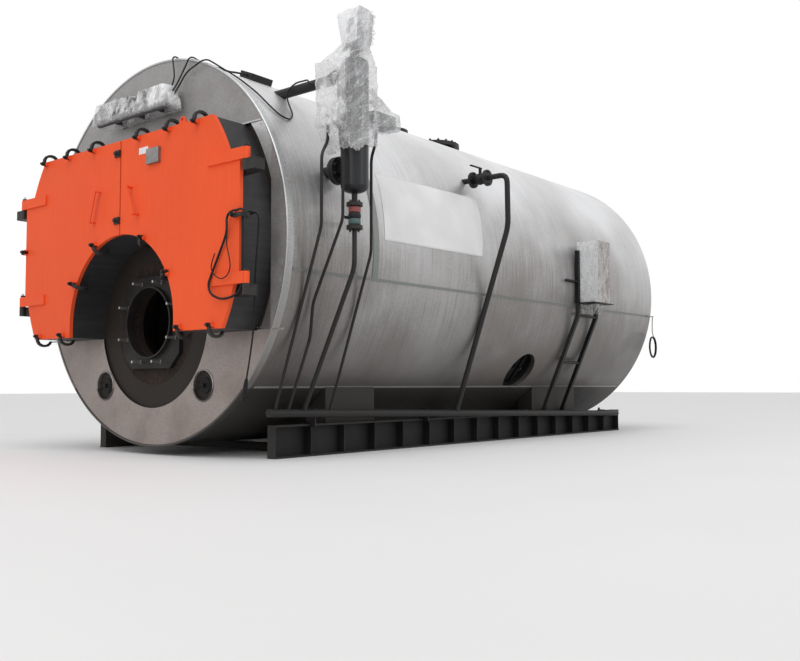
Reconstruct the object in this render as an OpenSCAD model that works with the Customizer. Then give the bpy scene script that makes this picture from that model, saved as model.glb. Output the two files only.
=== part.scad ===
/* [Shell] */
// Length of the insulated jacket, front to rear
shell_len = 5860; // [5600:10:6200]
// Outer diameter of the jacket
jacket_d = 2966; // [2920:2:2980]
// Thickness of insulation and cladding
insulation_t = 102; // [92:2:112]
// Thickness of the pressure shell
shell_plate = 18; // [12:1:24]
// Height of the shell axis above the ground
axis_z = 1560; // [1555:5:1620]
// Outer diameter of the rolled ring at the front edge
ring_d = 3004; // [3000:2:3020]
// Width of the ring band along the jacket
ring_band = 70; // [50:5:90]
// Thickness of the front and rear cladding sheets
sheet_t = 4; // [3:1:6]

/* [Tube plate and tubes] */
// Distance of the tube plate behind the front sheets
plate_setback = 20; // [14:2:40]
// Thickness of the tube plates
tube_plate_t = 24; // [18:2:32]
// Outer diameter of the smoke tubes
tube_d = 76; // [60:2:80]
// Wall thickness of the smoke tubes
tube_wall = 5; // [3:1:7]
// Distance between tube centres
tube_pitch = 112; // [106:2:124]
// How far the tube ends stand proud of the plate
tube_proud = 8; // [5:1:12]

/* [Furnace and burner seat] */
// Height of the furnace axis below the shell axis
furnace_drop = 545; // [520:5:560]
// Inner diameter of the furnace
furnace_d = 960; // [880:10:1000]
// Thickness of the furnace wall
furnace_wall = 16; // [12:1:22]
// Number of corrugations along the furnace
corrugations = 18; // [10:1:24]
// Depth of each corrugation
corrugation_depth = 36; // [20:2:44]
// Bore of the burner throat
throat_d = 532; // [480:4:560]
// Wall of the throat collar
collar_wall = 14; // [8:1:20]
// How far the throat collar stands proud of the burner plate
collar_proud = 30; // [15:5:45]
// Width across the burner plate
burner_plate_w = 710; // [680:10:760]
// Corner cut of the burner plate
burner_plate_cut = 115; // [80:5:160]
// Thickness of the burner plate
burner_plate_t = 36; // [24:2:44]
// Number of studs round the throat
stud_count = 8; // [4:1:12]
// Pitch circle diameter of the studs
stud_pcd = 656; // [630:2:664]
// Diameter of the studs
stud_d = 20; // [12:2:24]
// Free length of the studs
stud_len = 80; // [40:5:100]

/* [Smokebox] */
// Depth of the smokebox in front of the front sheets
box_depth = 270; // [220:5:320]
// Distance of the smokebox's curved side inside the jacket surface
box_inset = 153; // [143:5:183]
// Plate thickness of the smokebox
box_plate = 10; // [6:1:14]
// Height of the flat top above the shell axis
box_top = 820; // [780:5:860]
// Depth of the flat bottom below the shell axis
box_bottom = 650; // [630:5:680]
// Inner radius of the arch over the burner
arch_r = 660; // [640:5:680]
// Depth of the arch centre below the shell axis
arch_drop = 560; // [540:5:580]

/* [Doors] */
// Thickness of each door plate
door_t = 30; // [20:2:36]
// Thickness of the insulating lining inside each door
lining_t = 60; // [40:5:80]
// Gap between a door and the smokebox edge
door_gap = 5; // [5:1:8]
// Gap between the two doors
seam_gap = 14; // [12:1:18]
// How far the doors' curved edges reach past the smokebox
door_over = 20; // [16:1:26]
// Distance of each hinge axis outside the smokebox
hinge_out = 82; // [78:1:90]
// Height of the upper hinge above the shell axis
hinge_hi = 500; // [460:5:510]
// Depth of the lower hinge below the shell axis
hinge_lo = 325; // [280:5:340]
// Height of the hinge straps
strap_h = 80; // [60:5:90]
// Thickness of the hinge straps
strap_t = 16; // [12:1:18]
// Diameter of the hinge pins
pin_d = 28; // [24:1:32]
// Outer diameter of the strap knuckles
knuckle_d = 46; // [42:1:50]

/* [Level column] */
// Distance of the column from the centre plane
column_x = 1660; // [1650:5:1700]
// Distance of the column behind the front sheets
column_y = 490; // [450:10:540]
// Outer diameter of the column
column_d = 200; // [180:4:210]
// Height of the column's lower seam above the shell axis
column_lo = 370; // [340:10:400]
// Height of the column's upper seam above the shell axis
column_hi = 1250; // [1240:5:1270]
// Height of the water branch above the shell axis
water_branch_z = 505; // [490:5:540]
// Height of the steam branch above the shell axis
steam_branch_z = 1185; // [1170:5:1200]
// Outer diameter of the steam branch pipe
steam_branch_d = 76; // [60:2:90]
// Outer diameter of the flanges on the water branch
water_flange_d = 200; // [180:5:210]
// Thickness of the film wrapping
film_t = 5; // [4:1:8]

/* [Drains] */
// Outer diameter of the drain header
header_d = 60; // [48:2:70]
// Outer diameter of the small drain pipes
drain_d = 22; // [18:1:26]
// Outer diameter of the column drain pipe
column_drain_d = 34; // [28:2:38]

/* [Base] */
// Height of the base beams
beam_h = 240; // [220:5:260]
// Flange width of the base beams
beam_w = 85; // [75:5:100]
// Web thickness of the base beams
beam_web = 10; // [8:1:12]
// Flange thickness of the base beams
beam_flange = 13; // [10:1:16]
// Distance of the flange tips from the centre plane
beam_x = 1100; // [1080:5:1120]
// Distance of the beams' front ends behind the front sheets
beam_start = 270; // [200:10:340]
// Distance of the beams' rear ends ahead of the rear end
beam_end = 110; // [60:10:160]
// Number of stiffener bays along each beam
beam_bays = 15; // [10:1:20]
// Height of the cross members
cross_h = 60; // [50:2:64]

/* [Hidden] */

$fn = 96;
fit = 0.3;
front_y = -shell_len / 2;
rear_y = shell_len / 2;
jacket_r = jacket_d / 2;
shell_r = jacket_r - insulation_t;
box_r = jacket_r - box_inset;
door_r = box_r + door_over;
door_half_w = door_r + 5;
hinge_x = box_r + hinge_out;
plate_y = front_y + plate_setback;
rear_plate_y = rear_y - plate_setback;
door_y = front_y - box_depth - door_gap;
hinge_y = door_y - 18;
furnace_z = axis_z - furnace_drop;
arch_z = axis_z - arch_drop;
beam_len = shell_len - beam_start - beam_end;
beam_y = front_y + beam_start;
header_x = beam_x + header_d / 2 + 24;

function swept_x(r, z) = sqrt(r * r - z * z);

// Extrudes an outline drawn in X and Z from y0 towards the rear
module plate(y0, t) {
    translate([0, y0 + t, 0]) rotate([90, 0, 0]) linear_extrude(t) children();
}

// Round bar or bore along Y, starting at y0
module rod_y(r, y0, len) {
    translate([0, y0, 0]) rotate([-90, 0, 0]) cylinder(r = r, h = len);
}

// Round bar along X, starting at x0
module rod_x(r, x0, len) {
    translate([x0, 0, 0]) rotate([0, 90, 0]) cylinder(r = r, h = len);
}

// Straight pipe between two points
module pipe(a, b, d) {
    v = b - a;
    len = norm(v);
    translate(a) rotate([0, acos(v[2] / len), atan2(v[1], v[0])]) cylinder(d = d, h = len);
}

// Route with each inner corner rounded over the given length to both sides
function unit(v) = v / norm(v);
function rounded_route(p, bend) = concat(
    [p[0]],
    [for (i = [1 : len(p) - 2])
        let (a = p[i] + unit(p[i - 1] - p[i]) * bend, b = p[i] + unit(p[i + 1] - p[i]) * bend)
        for (t = [0 : 0.25 : 1])
            (1 - t) * (1 - t) * a + 2 * t * (1 - t) * p[i] + t * t * b],
    [p[len(p) - 1]]);

function tangent(p, i) = unit(
    (i < len(p) - 1 ? unit(p[i + 1] - p[i]) : [0, 0, 0])
    + (i > 0 ? unit(p[i] - p[i - 1]) : [0, 0, 0]));

// One ring of points square to the route, turned so that its first point looks along ref
function route_ring(p, i, r, sides, ref) =
    let (t = tangent(p, i), u = unit(ref - (ref * t) * t), v = cross(t, u))
    [for (k = [0 : sides - 1]) p[i] + r * (cos(k * 360 / sides) * u + sin(k * 360 / sides) * v)];

// Tube swept along a route as one closed solid
module swept_tube(p, r, sides, ref) {
    n = len(p);
    points = [for (i = [0 : n - 1]) each route_ring(p, i, r, sides, ref)];
    faces = concat(
        [[for (k = [0 : sides - 1]) k]],
        [for (i = [0 : n - 2]) for (k = [0 : sides - 1])
            let (a = i * sides + k, b = i * sides + (k + 1) % sides)
            [a, a + sides, b + sides, b]],
        [[for (k = [sides - 1 : -1 : 0]) (n - 1) * sides + k]]);
    polyhedron(points = points, faces = faces, convexity = 6);
}

module pipe_run(points, d, bend, ref) {
    swept_tube(rounded_route(points, bend), d / 2, 16, ref);
}

module ring_2d(r_out, r_in) {
    difference() {
        circle(r = r_out);
        circle(r = r_in);
    }
}

// Jacket and shell

module nozzle_cuts(extra) {
    translate([0, front_y + column_y, axis_z + water_branch_z])
        rod_x(water_pipe_d / 2 + extra, 900, 1200);
    translate([0, front_y + column_y, axis_z + steam_branch_z])
        rod_x(steam_branch_d / 2 + extra, 400, 1400);
    translate([0, front_y + side_valve_y, axis_z + side_valve_z])
        rod_x(side_pipe_d / 2 + extra, 900, 900);
    translate([0, front_y + manhole_y, axis_z])
        rotate([0, manhole_angle, 0])
            rod_x(manhole_d / 2 + extra, 1000, 700);
    translate([0, front_y + steam_outlet_y, axis_z + 1000])
        cylinder(d = steam_outlet_d + 2 * extra, h = 800);
    for (y = safety_y)
        translate([0, front_y + y, axis_z + 1000])
            cylinder(d = safety_d + 2 * extra, h = 800);
    translate([0, front_y + crown_manhole_y, axis_z + 1000])
        cylinder(d = crown_manhole_d + 2 * extra, h = 800);
}

water_pipe_d = 89;
side_valve_y = 2400;
side_valve_z = 790;
side_pipe_d = 48;
manhole_y = 3440;
manhole_angle = 37.6;
manhole_d = 420;
manhole_neck = 90;
steam_outlet_y = 2900;
steam_outlet_d = 219;
safety_y = [1500, 4300];
safety_d = 76;
crown_manhole_y = 3650;
crown_manhole_d = 406;

module jacket() {
    color("#b9bcbd")
    difference() {
        translate([0, 0, axis_z]) difference() {
            rod_y(jacket_r, front_y + sheet_t, shell_len - 2 * sheet_t);
            rod_y(shell_r + fit, front_y, shell_len);
        }
        nozzle_cuts(fit);
    }
}

strap_y = 930;
strap_w = 65;
strap_angle = -8.8;

// Cover strips of the jacket sheets: one round the front bay and one along the side
module jacket_straps() {
    color("#a9adae") {
        translate([0, front_y + strap_y + strap_w / 2, axis_z])
            rotate([90, strap_angle, 0])
                rotate_extrude(angle = 40) translate([jacket_r + fit, 0]) square([4, strap_w]);
        translate([0, front_y + ring_band + 4, axis_z]) rotate([0, -strap_angle, 0])
            translate([jacket_r - 3, 0, -22]) difference() {
                cube([9, shell_len - 2 * ring_band - 8, 22]);
                translate([-jacket_r + 3, -1, 22])
                    rotate([-90, 0, 0]) cylinder(r = jacket_r + fit, h = shell_len, $fn = 720);
            }
        translate([0, 0, axis_z]) difference() {
            translate([coil_x - 16, rear_y - 130, coil_hook_z]) cube([24, 170, 8]);
            rod_y(jacket_r + fit, rear_y - 200, 400, $fn = 720);
        }
    }
}

coil_x = jacket_r - 1;
coil_y = 20;
coil_hook_z = -241;

module front_ring() {
    color("#c9cccd")
    translate([0, front_y, axis_z]) rotate([-90, 0, 0]) rotate_extrude()
        union() {
            translate([jacket_r + fit, 0]) square([4, ring_band]);
            translate([ring_d / 2 - 9, 0]) circle(r = 9, $fn = 32);
        }
}

// Outline of the smokebox, moved inwards by the given amount
module box_profile(inset) {
    difference() {
        intersection() {
            circle(r = box_r - inset);
            translate([-box_r, -box_bottom + inset])
                square([2 * box_r, box_top + box_bottom - 2 * inset]);
        }
        arch_profile(inset);
    }
}

module arch_profile(inset) {
    translate([0, -arch_drop]) circle(r = arch_r + inset);
    translate([-arch_r - inset, -box_bottom - 200])
        square([2 * (arch_r + inset), box_bottom + 200 - arch_drop]);
}

sheet_r = ring_d / 2 - 20;
sheet_split_x = -90;
sheet_top = -box_bottom - 2;
handhole_x = 620;
handhole_drop = 1030;
handhole_d = 220;

module front_sheet_upper() {
    color("#a8abac")
    translate([0, 0, axis_z]) plate(front_y, sheet_t) difference() {
        intersection() {
            circle(r = sheet_r);
            translate([-sheet_r, sheet_top + 1]) square([2 * sheet_r, 2 * sheet_r]);
        }
        circle(r = box_r + 2);
        translate([-box_r, -box_bottom - 50]) square([2 * box_r, box_top + box_bottom + 52]);
    }
    color("#a8abac")
    translate([0, 0, axis_z]) plate(front_y, sheet_t) difference() {
        intersection() {
            circle(r = box_r + 1.5);
            translate([-sheet_r, box_top + 2]) square([2 * sheet_r, sheet_r]);
        }
    }
}

module lower_sheet_2d() {
    difference() {
        intersection() {
            circle(r = sheet_r);
            translate([-sheet_r, -sheet_r]) square([2 * sheet_r, sheet_r + sheet_top]);
        }
        translate([0, -arch_drop + 25]) circle(r = arch_r + 8);
        for (s = [-1, 1]) translate([s * handhole_x, -handhole_drop]) circle(d = handhole_d);
    }
}

module front_sheet_lower() {
    color("#9c9a98")
    translate([0, 0, axis_z]) plate(front_y, sheet_t) difference() {
        lower_sheet_2d();
        translate([sheet_split_x, -2 * sheet_r]) square([1, 4 * sheet_r]);
    }
}

module pressure_shell() {
    color("#4a4643")
    difference() {
        translate([0, 0, axis_z]) difference() {
            rod_y(shell_r, plate_y, shell_len - 2 * plate_setback);
            rod_y(shell_r - shell_plate, front_y, shell_len);
        }
        nozzle_cuts(0);
    }
}

// Rows of smoke tubes that lie inside the smokebox and clear of the furnace
tube_rows = [for (j = [-5 : 6]) for (i = [0 : 12])
    [(i + 0.5) * tube_pitch, 105 + j * tube_pitch * 0.98]];
function tube_ok(p) =
    norm(p) < box_r - 20 - tube_d / 2 - 15
    && p[1] < box_top - box_plate - tube_d / 2 - 24
    && p[1] > -box_bottom + box_plate + tube_d / 2 + 20
    && norm([p[0], p[1] + arch_drop]) > arch_r + box_plate + tube_d / 2 + 20
    && p[0] > 80;
tubes_right = [for (p = tube_rows) if (tube_ok(p)) p];
tube_xz = concat(tubes_right, [for (p = tubes_right) [-p[0], p[1]]]);

module tube_plate(y0) {
    plate(y0, tube_plate_t) difference() {
        circle(r = shell_r - shell_plate - fit);
        for (p = tube_xz) translate(p) circle(r = tube_d / 2 + fit, $fn = 32);
        children();
    }
}

// Front plate, which also holds the furnace, and rear plate
module tube_plates() {
    color("#3a3431") translate([0, 0, axis_z]) {
        tube_plate(plate_y)
            translate([0, -furnace_drop]) circle(r = furnace_d / 2 + furnace_wall + fit);
        tube_plate(rear_plate_y - tube_plate_t) square(0.001);
    }
}

module smoke_tubes() {
    color("#5a4b42")
    translate([0, 0, axis_z])
        plate(plate_y - tube_proud, shell_len - 2 * plate_setback + 2 * tube_proud)
            for (p = tube_xz) translate(p) difference() {
                circle(r = tube_d / 2, $fn = 32);
                circle(r = tube_d / 2 - tube_wall, $fn = 32);
            }
}

furnace_len = shell_len - 1100;
wave_len = (furnace_len - 500) / corrugations;
furnace_inner = [for (i = [0 : 4 * corrugations])
    [furnace_d / 2 - corrugation_depth / 2 * (1 - cos(i * 90)), 400 + i * wave_len / 4]];
furnace_outer = [for (i = [4 * corrugations : -1 : 0])
    [furnace_inner[i][0] + furnace_wall, furnace_inner[i][1]]];

// Corrugated fire tube, open at the front and closed by a dished rear
module furnace_tube() {
    color("#4b3a30")
    translate([0, plate_y, furnace_z]) rotate([-90, 0, 0]) rotate_extrude()
        polygon(concat(
            [[furnace_d / 2, 0]],
            furnace_inner,
            [[furnace_d / 2, furnace_len], [0, furnace_len]],
            [[0, furnace_len + furnace_wall], [furnace_d / 2 + furnace_wall, furnace_len + furnace_wall]],
            furnace_outer,
            [[furnace_d / 2 + furnace_wall, 0]]));
}

quarl_len = 330;

// Refractory cone that widens from the throat to the furnace wall
module throat_quarl() {
    color("#6e5443")
    translate([0, plate_y, furnace_z]) rotate([-90, 0, 0]) rotate_extrude()
        polygon([
            [throat_d / 2 + 8, 0],
            [throat_d / 2 + 8, 90],
            [furnace_d / 2 - 40, quarl_len],
            [furnace_d / 2 - fit, quarl_len],
            [furnace_d / 2 - fit, 0]]);
}

module burner_plate() {
    h = burner_plate_w / 2;
    c = burner_plate_cut;
    color("#2c2725")
    difference() {
        translate([0, 0, furnace_z]) plate(plate_y - burner_plate_t, burner_plate_t) difference() {
            polygon([[-h + c, -h], [h - c, -h], [h, -h + c], [h, h - c],
                [h - c, h], [-h + c, h], [-h, h - c], [-h, -h + c]]);
            circle(r = throat_d / 2 + collar_wall + fit);
        }
        translate([0, 0, furnace_z]) for (i = [0 : stud_count - 1])
            rotate([0, (i + 0.5) * 360 / stud_count, 0])
                translate([stud_pcd / 2, 0, 0])
                    rod_y(stud_d / 2 + stud_foot + fit, plate_y - burner_plate_t - 1, burner_plate_t - 5.7);
    }
}

module throat_collar() {
    color("#3a312c")
    translate([0, 0, furnace_z])
        plate(plate_y - burner_plate_t - collar_proud, burner_plate_t + collar_proud)
            ring_2d(throat_d / 2 + collar_wall, throat_d / 2);
}

stud_foot = 3;

// Studs, each with a thicker foot that is held in the burner plate
module burner_studs() {
    color("#77716b")
    translate([0, 0, furnace_z]) for (i = [0 : stud_count - 1])
        rotate([0, (i + 0.5) * 360 / stud_count, 0])
            translate([stud_pcd / 2, 0, 0]) {
                rod_y(stud_d / 2, plate_y - burner_plate_t - stud_len, stud_len + 1);
                rod_y(stud_d / 2 + stud_foot, plate_y - burner_plate_t, burner_plate_t - 7);
            }
}

// Oval cover, bridge and nut seen through each hand hole
module handhole_covers() {
    color("#2a2827")
    for (s = [-1, 1]) translate([s * handhole_x, plate_y, axis_z - handhole_drop]) {
        handhole_lid();
        plate(-16, 8) square([170, 26], center = true);
        rod_y(9, -19, 8);
        translate([0, -19, 0]) rotate([90, 0, 0]) cylinder(r = 17, h = 12, $fn = 6);
    }
}

module handhole_lid() {
    for (x = [-72, 72]) translate([x - 13, -8, -30]) cube([26, 8, 60]);
    rod_y(60, -8, 8);
}

// Smokebox

module smokebox() {
    color("#3b3a3c")
    translate([0, 0, axis_z]) plate(front_y - box_depth, box_depth + plate_setback) difference() {
        box_profile(0);
        box_profile(box_plate);
    }
}

// Doors

module door_outline(edge, arch) {
    difference() {
        intersection() {
            union() {
                circle(r = door_r - edge);
                translate([-door_half_w + edge, -hinge_lo - 35])
                    square([2 * (door_half_w - edge), hinge_lo + 35 + hinge_hi]);
            }
            translate([-door_half_w, -box_bottom + edge])
                square([2 * door_half_w, box_top + box_bottom - 2 * edge]);
        }
        arch_profile(arch);
    }
}

module half_2d(side, gap) {
    intersection() {
        children();
        if (side > 0) translate([gap / 2, -2000]) square([2000, 4000]);
        else translate([-2000 - gap / 2, -2000]) square([2000, 4000]);
    }
}

module door_panel(side) {
    color("#e4522a")
    translate([0, 0, axis_z]) plate(door_y - door_t, door_t)
        half_2d(side, seam_gap) door_outline(0, 3);
}

lining_inset = 34;

module door_lining(side) {
    color("#cfc8b8")
    translate([0, 0, axis_z]) plate(door_y, lining_t)
        half_2d(side, seam_gap + 30) box_profile(box_plate + lining_inset);
}

// Strap across the door that ends in a knuckle round the hinge pin
module door_strap(side, z) {
    len = hinge_x - 1035;
    translate([0, 0, axis_z + z - strap_h / 2]) difference() {
        union() {
            translate([side > 0 ? 1035 : -hinge_x, door_y - door_t - strap_t, 0])
                cube([len, strap_t, strap_h]);
            translate([side * hinge_x, hinge_y, 0]) cylinder(d = knuckle_d, h = strap_h);
        }
        translate([side * hinge_x, hinge_y, -1]) cylinder(d = pin_d + 2 * fit, h = strap_h + 2);
    }
}

// Straps, and the lugs that guide the clamps
module door_straps(side, clamps) {
    door_strap(side, hinge_hi);
    door_strap(side, -hinge_lo);
    for (c = clamps) clamp_lugs(c[0], c[1], c[2]);
}

// Lifting eye on the top edge of a door
module lifting_eye(x) {
    translate([x, 0, axis_z + box_top]) plate(door_y - door_t + 7, 16) difference() {
        union() {
            translate([0, 26]) circle(r = 26);
            translate([-34, 0]) square([68, 24]);
        }
        translate([0, 28]) circle(r = 12);
    }
}

// Side view of a clamp's middle line: behind the door's back face, and past the door's edge
hook_line = [[-56, -36], [-60, -12], [-57, 14], [-44, 36], [-22, 49],
    [4, 53], [30, 48], [50, 34], [62, 14]];
hook_thick = [17, 18, 19, 19, 19, 19, 18, 15, 10];

function way(p, i) = unit(p[min(i + 1, len(p) - 1)] - p[max(i - 1, 0)]);
function one_side(p, w, s, n) = [for (i = [0 : n - 1])
    let (t = way(p, i)) p[i] + s * w[i] / 2 * [-t[1], t[0]]];

// Flat bar bent along a line
module bent_bar(p, w, n) {
    inner = one_side(p, w, -1, n);
    polygon(concat(one_side(p, w, 1, n), [for (i = [n - 1 : -1 : 0]) inner[i]]));
}

// Swan-necked clamp that hooks over the door edge, with its stud and nut in front
module clamp(x, z, out, n) {
    translate([x, door_y, axis_z + z]) rotate([0, 90 - out, 0]) {
        translate([-13, 0, 0]) rotate([90, 0, 90]) linear_extrude(26) bent_bar(hook_line, hook_thick, n);
        translate([0, -door_t - 0.5, -24]) rotate([90, 0, 0]) cylinder(r = 10, h = 62, $fn = 24);
        translate([0, -door_t - 35, -24]) rotate([90, 0, 0]) cylinder(r = 17, h = 15, $fn = 6);
    }
}

// Round-nosed lugs on both sides of a clamp
module clamp_lugs(x, z, out) {
    translate([x, door_y, axis_z + z]) rotate([0, 90 - out, 0]) for (s = [-22, 14])
        translate([s, 0, 0]) rotate([90, 0, 90]) linear_extrude(8) {
            translate([-door_t - 16, -24]) circle(r = 14, $fn = 32);
            translate([-door_t - 16, -38]) square([16, 28]);
        }
}

top_corner_x = sqrt(door_r * door_r - box_top * box_top);
low_corner_x = sqrt(door_r * door_r - box_bottom * box_bottom);

// Places of the clamps as x, z and the direction in which each points outwards
clamps_right = [
    [235, box_top, 90], [595, box_top, 90], [top_corner_x - 162, box_top, 90],
    [arch_r * sin(27), -arch_drop + arch_r * cos(27), -117],
    [arch_r * sin(61), -arch_drop + arch_r * cos(61), -151],
    [low_corner_x - 436, -box_bottom, -90], [low_corner_x - 91, -box_bottom, -90]
];
clamps_left = [
    [32 - top_corner_x, box_top, 90], [-700, box_top, 90], [-350, box_top, 90],
    [-arch_r * sin(27), -arch_drop + arch_r * cos(27), -63],
    [-arch_r * sin(61), -arch_drop + arch_r * cos(61), -29],
    [436 - low_corner_x, -box_bottom, -90], [91 - low_corner_x, -box_bottom, -90]
];

hinge_clamp_z = 90;
hinge_clamp_right = [door_half_w, hinge_clamp_z, 0];
hinge_clamp_left = [-door_half_w, hinge_clamp_z, 180];
short_hook = 6;

// The clamp beside a hinge is short, so that it clears the smokebox as the door swings
module left_door_clamps() {
    color("#1e1d1d") {
        for (c = clamps_left) clamp(c[0], c[1], c[2], len(hook_line));
        clamp(hinge_clamp_left[0], hinge_clamp_left[1], hinge_clamp_left[2], short_hook);
        for (z = [211, 722]) door_latch(z);
    }
}

module right_door_clamps() {
    color("#1e1d1d") {
        for (c = clamps_right) clamp(c[0], c[1], c[2], len(hook_line));
        clamp(hinge_clamp_right[0], hinge_clamp_right[1], hinge_clamp_right[2], short_hook);
    }
}

// Flat bar handle between two points on the door face
module handle(x0, z0, x1, z1) {
    v = [x1 - x0, z1 - z0];
    len = norm(v);
    translate([x0, door_y - door_t, axis_z + z0]) rotate([0, atan2(v[0], v[1]), 0]) {
        for (z = [0, len - 10]) translate([-13, -55, z]) cube([26, 55, 10]);
        translate([-13, -55, 0]) cube([26, 9, len]);
    }
}

// Small plate over the seam between the doors, held on the left one
module door_latch(z) {
    translate([-64, door_y - door_t - 14, axis_z + z - 26]) {
        cube([62, 14, 52]);
        translate([31, 0, 26]) rotate([90, 0, 0]) cylinder(r = 15, h = 22, $fn = 6);
    }
}

module right_door_plate() {
    color("#8f8d8a")
    translate([349, door_y - door_t - 24, axis_z + 580]) cube([146, 24, 112]);
}

module left_door_panel() { door_panel(-1); }
module left_door_lining() { door_lining(-1); }

// Straps, lugs and handle
module left_door_straps() {
    color("#ea5a30") {
        door_straps(-1, concat(clamps_left, [hinge_clamp_left]));
        handle(-335, 222, -261, 463);
    }
}

module right_door_panel() { door_panel(1); }
module right_door_lining() { door_lining(1); }

// Straps, lugs, handle and lifting eye
module right_door_straps() {
    color("#ea5a30") {
        door_straps(1, concat(clamps_right, [hinge_clamp_right]));
        handle(237, 224, 144, 446);
        lifting_eye(730);
    }
}

bracket_h = 76;

lead_z = 120;
lead_y = -200;
lead_gland = 30;

// Block that stands off the smokebox under a strap and holds its pin; nose is its reach past the pin
module hinge_bracket(side, z, nose, ahead) {
    x = side * hinge_x;
    z0 = axis_z + z - strap_h / 2 - fit - bracket_h;
    difference() {
        union() {
            translate([x, hinge_y, z0]) cylinder(d = knuckle_d + 4, h = bracket_h);
            translate([0, 0, z0]) linear_extrude(bracket_h) polygon([
                [x + side * nose, hinge_y - ahead],
                [x + side * nose, hinge_y + 70],
                [x, hinge_y + 100],
                [side * (box_r - 150), hinge_y + 112],
                [side * (box_r - 150), hinge_y + 46],
                [x - side * 62, hinge_y + 46],
                [x - side * 24, hinge_y + 20],
                [x - side * 24, hinge_y - ahead]]);
            translate([x, hinge_y, z0]) cylinder(d = pin_d, h = bracket_h + strap_h + 8);
        }
        translate([0, 0, axis_z]) rod_y(box_r + fit, front_y - box_depth - 50, box_depth + 100, $fn = 720);
    }
}

module hinge_brackets(side) {
    hinge_bracket(side, hinge_hi, 96, 18);
    hinge_bracket(side, -hinge_lo, 22, 0);
}

module left_hinge_brackets() {
    color("#232323") hinge_brackets(-1);
}

// Brackets, and the gland that the hanging lead comes out of
module right_hinge_brackets() {
    color("#232323") {
        hinge_brackets(1);
        difference() {
            translate([0, front_y + lead_y, axis_z + lead_z]) rod_x(14, box_r - 60, lead_gland + 60);
            translate([0, 0, axis_z]) rod_y(box_r + fit, front_y - box_depth, box_depth, $fn = 720);
        }
    }
}

// Level column and its controls

column_pos = [column_x, front_y + column_y, axis_z];

module dished_vessel(r, lo, hi) {
    cap = r * 0.5;
    rotate_extrude() polygon(concat(
        [[0, lo - cap]],
        [for (a = [15 : 15 : 90]) [r * sin(a), lo - cap * cos(a)]],
        [for (a = [90 : -15 : 15]) [r * sin(a), hi + cap * cos(a)]],
        [[0, hi + cap]]));
}

module level_column() {
    color("#26272a")
    difference() {
        translate(column_pos) dished_vessel(column_d / 2, column_lo, column_hi);
        translate([0, front_y + column_y, axis_z + water_branch_z])
            rod_x(water_pipe_d / 2 + fit, 1000, column_x - 1000 - column_d / 2 + 8);
        translate([0, front_y + column_y, axis_z + steam_branch_z])
            rod_x(steam_branch_d / 2 + fit, 1000, column_x - 1000 - column_d / 2 + 8);
    }
}

module water_branch() {
    x0 = swept_x(shell_r, water_branch_z) - 40;
    x1 = column_x - column_d / 2 + 7;
    color("#1d1d1f")
    translate([0, front_y + column_y, axis_z + water_branch_z]) {
        rod_x(water_pipe_d / 2, x0, x1 - x0);
        for (x = [x1 - 84, x1 - 58]) rod_x(water_flange_d / 2, x, 22);
    }
}

module steam_branch() {
    x0 = swept_x(shell_r, steam_branch_z) - 60;
    x1 = column_x - column_d / 2 + 7;
    color("#232324")
    translate([0, front_y + column_y, axis_z + steam_branch_z])
        rod_x(steam_branch_d / 2, x0, x1 - x0);
}

gauge_offset = 150;
switch_z = 895;

// Switch head on top of the column and a second one behind it
module level_switches() {
    translate(column_pos) {
        translate([0, 0, column_hi + column_d * 0.25 + fit]) {
            cylinder(r = 34, h = 60);
            translate([0, 0, 60]) cylinder(r = 62, h = 150);
            translate([0, 0, 210]) cylinder(r = 48, h = 60);
        }
        translate([0, column_d / 2 + fit, switch_z]) rotate([-90, 0, 0]) cylinder(r = 30, h = 40);
        translate([-65, column_d / 2 + 40, switch_z - 45]) cube([130, 240, 90]);
    }
}

// Gauge glass with its two cocks in front of the column
module gauge_glass() {
    translate(column_pos) {
        for (z = [800, 1150]) translate([0, 0, z]) {
            translate([0, -gauge_offset, 0]) rotate([-90, 0, 0])
                cylinder(r = 16, h = gauge_offset - column_d / 2 - fit);
            translate([-20, -gauge_offset - 18, -24]) cube([40, 36, 48]);
        }
        translate([-16, -gauge_offset - 14, 760]) cube([32, 28, 430]);
    }
}

module level_controls() {
    color("#55595c") {
        level_switches();
        gauge_glass();
    }
}

module rounded_box(x0, x1, y0, y1, z0, z1, r) {
    hull() for (x = [x0 + r, x1 - r]) for (y = [y0 + r, y1 - r]) translate([x, y, z0])
        cylinder(r = r, h = z1 - z0, $fn = 24);
}

// Outer form of the film wrapped round the column and its controls
module film_form(inset) {
    i = inset;
    r = 60;
    x = column_x;
    y = column_y;
    rounded_box(x - 170 + i, x + 140 - i, y - 250 + i, y + 110 - i, 740 + i, column_hi + 80 - i, r - i);
    rounded_box(x - 90 + i, x + 100 - i, y - 90 + i, y + 100 - i, column_hi - 50 + i, column_hi + 410 - i, r - i);
    rounded_box(x - 90 + i, x + 100 - i, y + 50 + i, y + 410 - i, switch_z - 65 + i, switch_z + 70 - i, r - i);
}

module column_film() {
    color("#dfe2e4", 0.6)
    difference() {
        translate([0, front_y, axis_z]) difference() {
            film_form(0);
            film_form(film_t);
        }
        translate(column_pos) cylinder(d = column_d + 2, h = 1000);
        translate([0, front_y + column_y, axis_z + steam_branch_z])
            rod_x(steam_branch_d / 2 + 1, 1000, 600);
        for (p = drain_tops) translate(p) translate([0, 0, -100])
            cylinder(d = drain_d + 2, h = 200);
        translate([0, front_y + 453, axis_z + 1226]) rod_x(cable_d / 2 + 5, column_x - 200, 60);
    }
}

valve_top = column_lo - column_d * 0.25 - 65;
valve_len = 190;

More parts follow.
